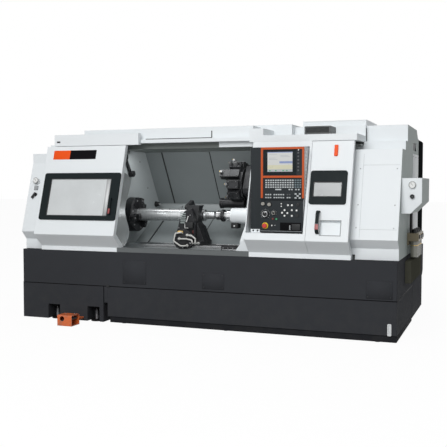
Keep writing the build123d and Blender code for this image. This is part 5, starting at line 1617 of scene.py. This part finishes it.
def makeTurretDress(sizes):
    spots, mesh = [], bmesh.new()
    top = sizes["apothem"] + sizes["block"]
    level = sizes["tip"] - top
    near, far, half, below, above = sizes["insert"]
    for number in sizes["tools"] + sizes["reaches"]:
        basis = stationBasis(number, top, sizes)
        places, middle = sizes["screwPlaces"], sizes["shank"]
        if number in sizes["reaches"]:
            places, middle = sizes["reachPlaces"], sizes["reachShank"]
        if number == sizes["single"]:
            places = sizes["singlePlaces"]
        for place in places:
            spots += along(basis, [(place, side * sizes["screwSpread"], 0) for side in (-1, 1)])
        low, high = (middle + near, -half, level + below), (middle + far, half, level + above)
        block(mesh, basis, low, high, sizes["insertRound"])
    finishPiece("toolInserts", mesh, ["insert_gold"], "turret")
    screws("holderScrews", spots, *sizes["screw"], "tool_steel", "turret")
    face = basisAt(Vector((discLow.x, discCentre.y, discCentre.z)), -axisY, -axisX)
    bolts, radius = [], sizes["ringRadius"]
    for number in range(sizes["ringBolts"]):
        angle = 2 * math.pi * number / sizes["ringBolts"]
        bolts.append((radius * math.cos(angle), radius * math.sin(angle), sizes["ringSink"]))
    screws("discBolts", along(face, bolts), *sizes["bolt"], "bright_steel", "turret")
    paintFaces("cutting_tools", "tool_steel", lambda centre, normal: True)
    left, right = [corner.x + place for place in sizes["centreBand"]]
    paintFaces("live_centre", "dark_steel", lambda centre, normal: left < centre.x < right)


makeTurretDress(turretSizes)

chuckSizes = {
    "anglesDeg": (-15, 45, 105, 165, 225, 285),
    "radius": 0.155,
    "bolt": (0.011, 0.006),
    "jawRadius": 0.150,
    "jawFace": 0.026,
    "jawBolt": (0.012, 0.006),
}


def makeChuckDress(sizes):
    chuckLow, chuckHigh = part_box("chuck")
    centre = (chuckLow + chuckHigh) / 2
    face = basisAt(Vector((chuckHigh.x, centre.y, centre.z)), axisY, axisX)
    angles = [math.radians(degrees) for degrees in sizes["anglesDeg"]]
    spots = [(sizes["radius"] * math.cos(angle), sizes["radius"] * math.sin(angle), 0) for angle in angles]
    screws("chuckBolts", along(face, spots), *sizes["bolt"], "foot_steel", "spindle_line")
    for jaw, body in (("jaw_1", "jaw_a"), ("jaw_2", "jaw_b"), ("jaw_3", "jaw_c")):
        low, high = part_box(jaw)
        out = (low + high) / 2 - centre
        out.x = 0
        place = centre + out.normalized() * sizes["jawRadius"]
        place.x = chuckHigh.x + sizes["jawFace"]
        screws(body + "Bolt", [(place, axisX)], *sizes["jawBolt"], "foot_steel", body)


makeChuckDress(chuckSizes)
print("turret dressed")

# Right end

shellSizes = {
    "depth": 0.145,
    "spots": [
        (3.623, 0.743, 0), (3.961, 0.740, 0), (3.621, 0.391, 0),
        (3.956, 0.389, 0), (3.616, 0.172, 0), (3.956, 0.172, 0),
    ],
    "screw": (0.007, 0.003),
    "seams": [(3.649, 3.651, 0.070, 0.885), (3.651, 3.985, 0.775, 0.777), (3.651, 3.985, 0.156, 0.158)],
    "tall": 0.0012,
    "round": 0.0003,
}


def makeShellDress(sizes):
    face = leanAt(sizes["depth"])
    screws("shellScrews", along(face, sizes["spots"]), *sizes["screw"], "seam_pale", "machine")
    rows = [(*seam, 0, sizes["tall"], 0) for seam in sizes["seams"]]
    batch("shellSeams", face, ["seam_pale"], "machine", rows, bevel=sizes["round"])


makeShellDress(shellSizes)

sideSizes = {
    "plate": (1.092, 1.625, 0.800, 1.757),
    "thick": 0.002,
    "inset": 0.03,
    "counts": (3, 4),
    "screw": (0.007, 0.003),
    "vent": (0.03, 0.004, 1.78),
    "edge": 0.002,
}


def makeSidePlate(sizes):
    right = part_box("right_enclosure")[1].x
    basis = rightAt(right - corner.x)
    front, rear, bottom, top = sizes["plate"]
    thick = sizes["thick"]
    row = (front, rear, bottom, top, 0, thick, 0)
    batch("sidePlate", basis, ["white_paint"], "machine", [row], bevel=thick / 3)
    spots = around((front, bottom), (rear, top), sizes["inset"], *sizes["counts"], thick)
    screws("sideScrews", along(basis, spots), *sizes["screw"], "foot_steel", "machine")
    deep, shallow, ventBottom = sizes["vent"]
    edge = right - sizes["edge"]

    def inVent(centre, normal):
        return right - deep < centre.x < right - shallow and centre.z > ventBottom

    paintFaces("right_enclosure", "vent_paint", inVent)
    # The right enclosure's right wall and the gauge box's right-facing faces are painted grey: painted shade
    # on the sides turned away from the key lamp
    paintFaces("right_enclosure", "side_grey", lambda centre, normal: normal.x > 0.99 and centre.x > edge)
    paintFaces("gauge_box", "side_grey", lambda centre, normal: normal.x > 0.6)


makeSidePlate(sideSizes)

airSizes = {
    "units": (0.775, 0.925, 1.075),
    "joints": (0.850, 1.000),
    "middle": 4.062,
    "capUp": 0.960,
    "cap": (0.0252, 0.021, 0.016, 0.036),
    "dialUp": 0.922,
    "dial": (0.023, 0.0184, 0.010, 0.0115),
    "ringUp": 0.836,
    "ring": (0.037, 0.004),
    "joint": (0.009, 0.895, 0.945, -0.030, 0.004),
    "jointRound": 0.004,
    "bands": {
        "knob_plastic": (0.965, 3.0),
        "unit_bronze": (0.845, 0.965),
        "bowl_clear": (0.70, 0.845),
        "olive_paint": (-1.0, 0.70),
    },
}


def makeAirDress(sizes):
    for material, (low, high) in sizes["bands"].items():
        paintFaces("air_unit", material, lambda centre, normal: low < centre.z < high)
    side = rightAt(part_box("air_unit")[1].x - corner.x)
    middle, dialUp = sizes["middle"], sizes["dialUp"]
    flange, cap, flangeTop, capTop = sizes["cap"]
    rim, dial, rimTop, dialTop = sizes["dial"]
    caps, dials, rings = [], [], bmesh.new()
    for unit in sizes["units"]:
        caps += [(middle, unit, flange, 0, flangeTop, 0), (middle, unit, cap, flangeTop, capTop, 0)]
        dials += [(unit, dialUp, rim, 0, rimTop, 1), (unit, dialUp, dial, rimTop, dialTop, 0)]
        ring(rings, topAt(sizes["ringUp"]), (middle, unit), *sizes["ring"], 0.0)
    finishPiece("bowlRings", rings, ["brass"], "machine")
    batch("airCaps", topAt(sizes["capUp"]), ["knob_plastic"], "machine", rods=caps)
    batch("airDials", side, ["white_cap", "knob_plastic"], "machine", rods=dials)
    half, *rest = sizes["joint"]
    joints = [(joint - half, joint + half, *rest, 0) for joint in sizes["joints"]]
    batch("airJoints", side, ["brass"], "machine", joints, bevel=sizes["jointRound"])


makeAirDress(airSizes)
print("right end dressed")

# Base and foot switch

latchSizes = {
    "plates": [(1.029, 1.063, 0.375, 0.391, 0, 0.010, 0)],
    "dots": [(1.046, 0.383, 0.005, 0.010, 0.013, 1)],
    "materials": ["knob_plastic", "seam_dark"],
    "round": 0.002,
}
latchParts = (latchSizes["plates"], latchSizes["dots"], latchSizes["round"])
batch("tankLatch", frontAt(0.0), latchSizes["materials"], "machine", *latchParts)

# The apron and the band carry the skirt and the tank down to the floor. The band is painted darker than the
# base as painted shade under the tank's overhang, and the apron's plates inside the foot notches are dark
# sheets standing for the shade under the base
baseSizes = {
    "length": 4.0,
    "seam": (0.377, 0.385, -0.003, 0.001, 0),
    "seamRound": 0.0005,
    "fill": (1.000, 1.040, 0.207, 0.378, -0.004, 0.0, 0),
    "covers": [(1.220, 1.488, 0.416, 0.663), (2.104, 2.336, 0.406, 0.565), (3.720, 3.960, 0.396, 0.562)],
    "thick": 0.0015,
    "inset": 0.018,
    "screw": (0.006, 0.003),
    "gap": (3.597, 3.800, 0.742, 0.749, 0, 0.001, 0),
    "gapRound": 0.0004,
    # The entries 0.150 deep here and in apronSides close the foot notches: painted shade under the base
    "apron": [
        (0.0, 0.316, 0.0), (0.461, 0.798, 0.0), (0.943, 0.990, 0.0),
        (0.300, 0.480, 0.150), (0.780, 0.970, 0.150),
    ],
    "apronSides": [(0.0, 2.182), (0.296, 0.150), (0.778, 0.150), (0.970, 2.182)],
    "apronTop": 0.034,
    "apronProud": 0.0005,
    "floor": 0.003,
    "wall": 0.020,
    "band": (1.062, 3.998, 0.004, 0.069),
    "bandInset": 0.012,
    "tank": 1.205,
    "round": 0.002,
    "foot": (0.021, 0.088),
}


def makeBaseDress(sizes):
    front = frontAt(0.0)
    thick, wall, rounding = sizes["thick"], sizes["wall"], sizes["round"]
    length, tank, seamRound = sizes["length"], sizes["tank"], sizes["seamRound"]
    seam, sideSeam = (0.0, length, *sizes["seam"]), (0.0, tank, *sizes["seam"])
    batch("baseSeam", front, ["plate_black"], "machine", [seam], bevel=seamRound)
    covers = [(*cover, 0, thick, 0) for cover in sizes["covers"]]
    batch("baseCovers", front, ["charcoal_paint"], "machine", [*covers, sizes["fill"]], bevel=thick / 3)
    spots = []
    for left, right, bottom, top in sizes["covers"]:
        spots += around((left, bottom), (right, top), sizes["inset"], 2, 2, thick)
    screws("coverScrews", along(front, spots), *sizes["screw"], "seam_dark", "machine")
    gapFront = frontAt(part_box("right_enclosure")[0].y - corner.y)
    batch("shellGap", gapFront, ["seam_dark"], "machine", [sizes["gap"]], bevel=sizes["gapRound"])
    floor, top, proud = sizes["floor"], sizes["apronTop"], sizes["apronProud"]
    aprons = []
    # The pieces set 0.150 deep and the short notch side walls close the foot notches to the floor: dark
    # sheets for the shade under the base
    for left, right, deep in sizes["apron"]:
        aprons.append((left, right, floor, top, -deep - wall, proud - deep, 0))
    for left, far in sizes["apronSides"]:
        aprons.append((left, left + wall, floor, top, -far, -wall, 0))
    batch("skirtApron", front, ["charcoal_paint"], "machine", aprons, bevel=rounding)
    inset = sizes["bandInset"]
    left, right, low, high = sizes["band"]
    # The plinth band is painted darker than the charcoal base: painted shade under the tank's overhang
    batch("plinthBand", front, ["plinth_shade_paint"], "machine", [
        (left, right, low, high, -inset - wall, -inset, 0),
        (right - wall, right, low, high, -tank, -inset - wall, 0),
    ], bevel=rounding)
    batch("sideSeam", rightAt(length), ["plate_black"], "machine", [sideSeam], bevel=seamRound)
    padTop, screwTop = sizes["foot"]
    paintFaces("levelling_feet", "plate_black", lambda centre, normal: not padTop < centre.z < screwTop)


makeBaseDress(baseSizes)

treadSizes = {
    "towards": (-0.24, 0, 0.97),
    "count": 7,
    "size": (0.006, 0.090, 0.003),
    "inset": 0.018,
    "lift": 0.001,
    "round": 0.0008,
}


def makeTread(sizes):
    normal = largestFace("pedal_treadle", sizes["towards"]).normal.copy()
    points = facePoints("pedal_treadle", normal, 0.999)
    centre = sum(points, Vector()) / len(points)
    basis = basisAt(centre, axisY.cross(normal).normalized(), normal)
    local = [basis.inverted() @ point for point in points]
    reach = max(point.x for point in local) - min(point.x for point in local) - 2 * sizes["inset"]
    grid = ((0, 0, sizes["lift"]), (sizes["count"], 1), (reach, 0.0), sizes["size"])
    blocks("treadRibs", basis, *grid, "tread_rubber", "treadle", bevel=sizes["round"])


makeTread(treadSizes)

guardSizes = {"places": (0.03, 0.138), "deep": -0.215, "screw": (0.006, 0.003)}
guardLow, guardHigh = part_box("pedal_guard")
guardPlaces = [(guardLow.x - corner.x + place, guardSizes["deep"], 0) for place in guardSizes["places"]]
guardSpots = along(topAt(guardHigh.z), guardPlaces)
screws("guardScrews", guardSpots, *guardSizes["screw"], "foot_steel", "machine")
print("base dressed")

# Rear and left end

cabinetSizes = {
    "leaves": 3,
    "leaf": 0.7333,
    "hinge": (0.012, 0.07, 0.014),
    "hingeSet": 0.024,
    "hingeUps": (0.95, 1.34, 1.74),
    "latch": (0.026, 0.11, 0.016),
    "latchSet": 0.075,
    "latchUps": (1.10, 1.55),
    "round": 0.003,
    "louvreUps": (0.93, 1.76),
    "louvreLift": 0.002,
    "louvre": ((1, 8), (0.0, 0.14), (0.30, 0.008, 0.008)),
    "louvreRound": 0.001,
    "tiltDeg": -30,
}


def makeCabinetDress(sizes):
    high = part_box("electrical_cabinet")[1]
    basis = rearAt(high.y - corner.y)
    tilt = (math.radians(sizes["tiltDeg"]), 0.0, 0.0)
    rows = []
    for number in range(sizes["leaves"]):
        start = corner.x - high.x + number * sizes["leaf"]
        wide, tall, proud = sizes["hinge"]
        side = start + sizes["hingeSet"]
        rows += [(side, side + wide, up - tall / 2, up + tall / 2, 0, proud, 0) for up in sizes["hingeUps"]]
        wide, tall, proud = sizes["latch"]
        side = start + sizes["leaf"] - sizes["latchSet"]
        rows += [(side, side + wide, up - tall / 2, up + tall / 2, 0, proud, 1) for up in sizes["latchUps"]]
        for level, up in enumerate(sizes["louvreUps"]):
            name = f"cabinetLouvre{number}{level}"
            grid = ((start + sizes["leaf"] / 2, up, sizes["louvreLift"]), *sizes["louvre"])
            blocks(name, basis, *grid, "charcoal_paint", "machine", tilt, sizes["louvreRound"])
    used = ["foot_steel", "knob_plastic"]
    batch("cabinetFittings", basis, used, "machine", rows, bevel=sizes["round"])


makeCabinetDress(cabinetSizes)

endSizes = {
    "plate": (0.52, 1.32, 0.98, 1.52),
    "thick": 0.003,
    "inset": 0.03,
    "counts": (4, 3),
    "screw": (0.007, 0.003),
    "louvreUp": 1.33,
    "louvre": ((1, 9), (0.0, 0.18), (0.34, 0.010, 0.008)),
    "louvreRound": 0.001,
    "tiltDeg": -30,
}


def makeLeftPlate(sizes):
    basis = leftAt(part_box("left_enclosure")[0].x - corner.x)
    front, rear, bottom, top = sizes["plate"]
    thick = sizes["thick"]
    row = (-rear, -front, bottom, top, 0, thick, 0)
    batch("endPlate", basis, ["white_paint"], "machine", [row], bevel=thick / 3)
    spots = around((-rear, bottom), (-front, top), sizes["inset"], *sizes["counts"], thick)
    screws("endScrews", along(basis, spots), *sizes["screw"], "foot_steel", "machine")
    tilt = (math.radians(sizes["tiltDeg"]), 0.0, 0.0)
    grid = ((-(front + rear) / 2, sizes["louvreUp"], thick), *sizes["louvre"])
    blocks("endLouvre", basis, *grid, "seam_grey", "machine", tilt, sizes["louvreRound"])


makeLeftPlate(endSizes)

rearSizes = {
    "seams": (1.20, 1.50),
    "width": 0.004,
    "bottom": 0.76,
    "top": 1.80,
    "tall": 0.001,
    "round": 0.0003,
    "screwSet": 0.03,
    "screwUps": (0.80, 1.10, 1.45, 1.76),
    "screw": (0.007, 0.003),
}


def makeRearSeams(sizes):
    basis = rearAt(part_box("rear_enclosure")[1].y - corner.y)
    half, away = sizes["width"] / 2, sizes["screwSet"]
    rows, spots = [], []
    for place in sizes["seams"]:
        rows.append((-place - half, -place + half, sizes["bottom"], sizes["top"], 0, sizes["tall"], 0))
        spots += [(-place + side * away, up, 0) for side in (-1, 1) for up in sizes["screwUps"]]
    batch("rearSeams", basis, ["seam_dark"], "machine", rows, bevel=sizes["round"])
    screws("rearScrews", along(basis, spots), *sizes["screw"], "foot_steel", "machine")


makeRearSeams(rearSizes)

closingSizes = {"front": 0.42, "thick": 0.003, "lap": 0.004, "round": 0.0008}


def makeClosingPlate(sizes):
    low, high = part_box("roof_cover")
    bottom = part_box("left_enclosure")[1].z
    row = (corner.y - high.y, -sizes["front"], bottom, low.z + sizes["lap"], -sizes["thick"], 0, 0)
    batch("closingPlate", leftAt(low.x - corner.x), ["white_paint"], "machine", [row], bevel=sizes["round"])


makeClosingPlate(closingSizes)
print("rear dressed")
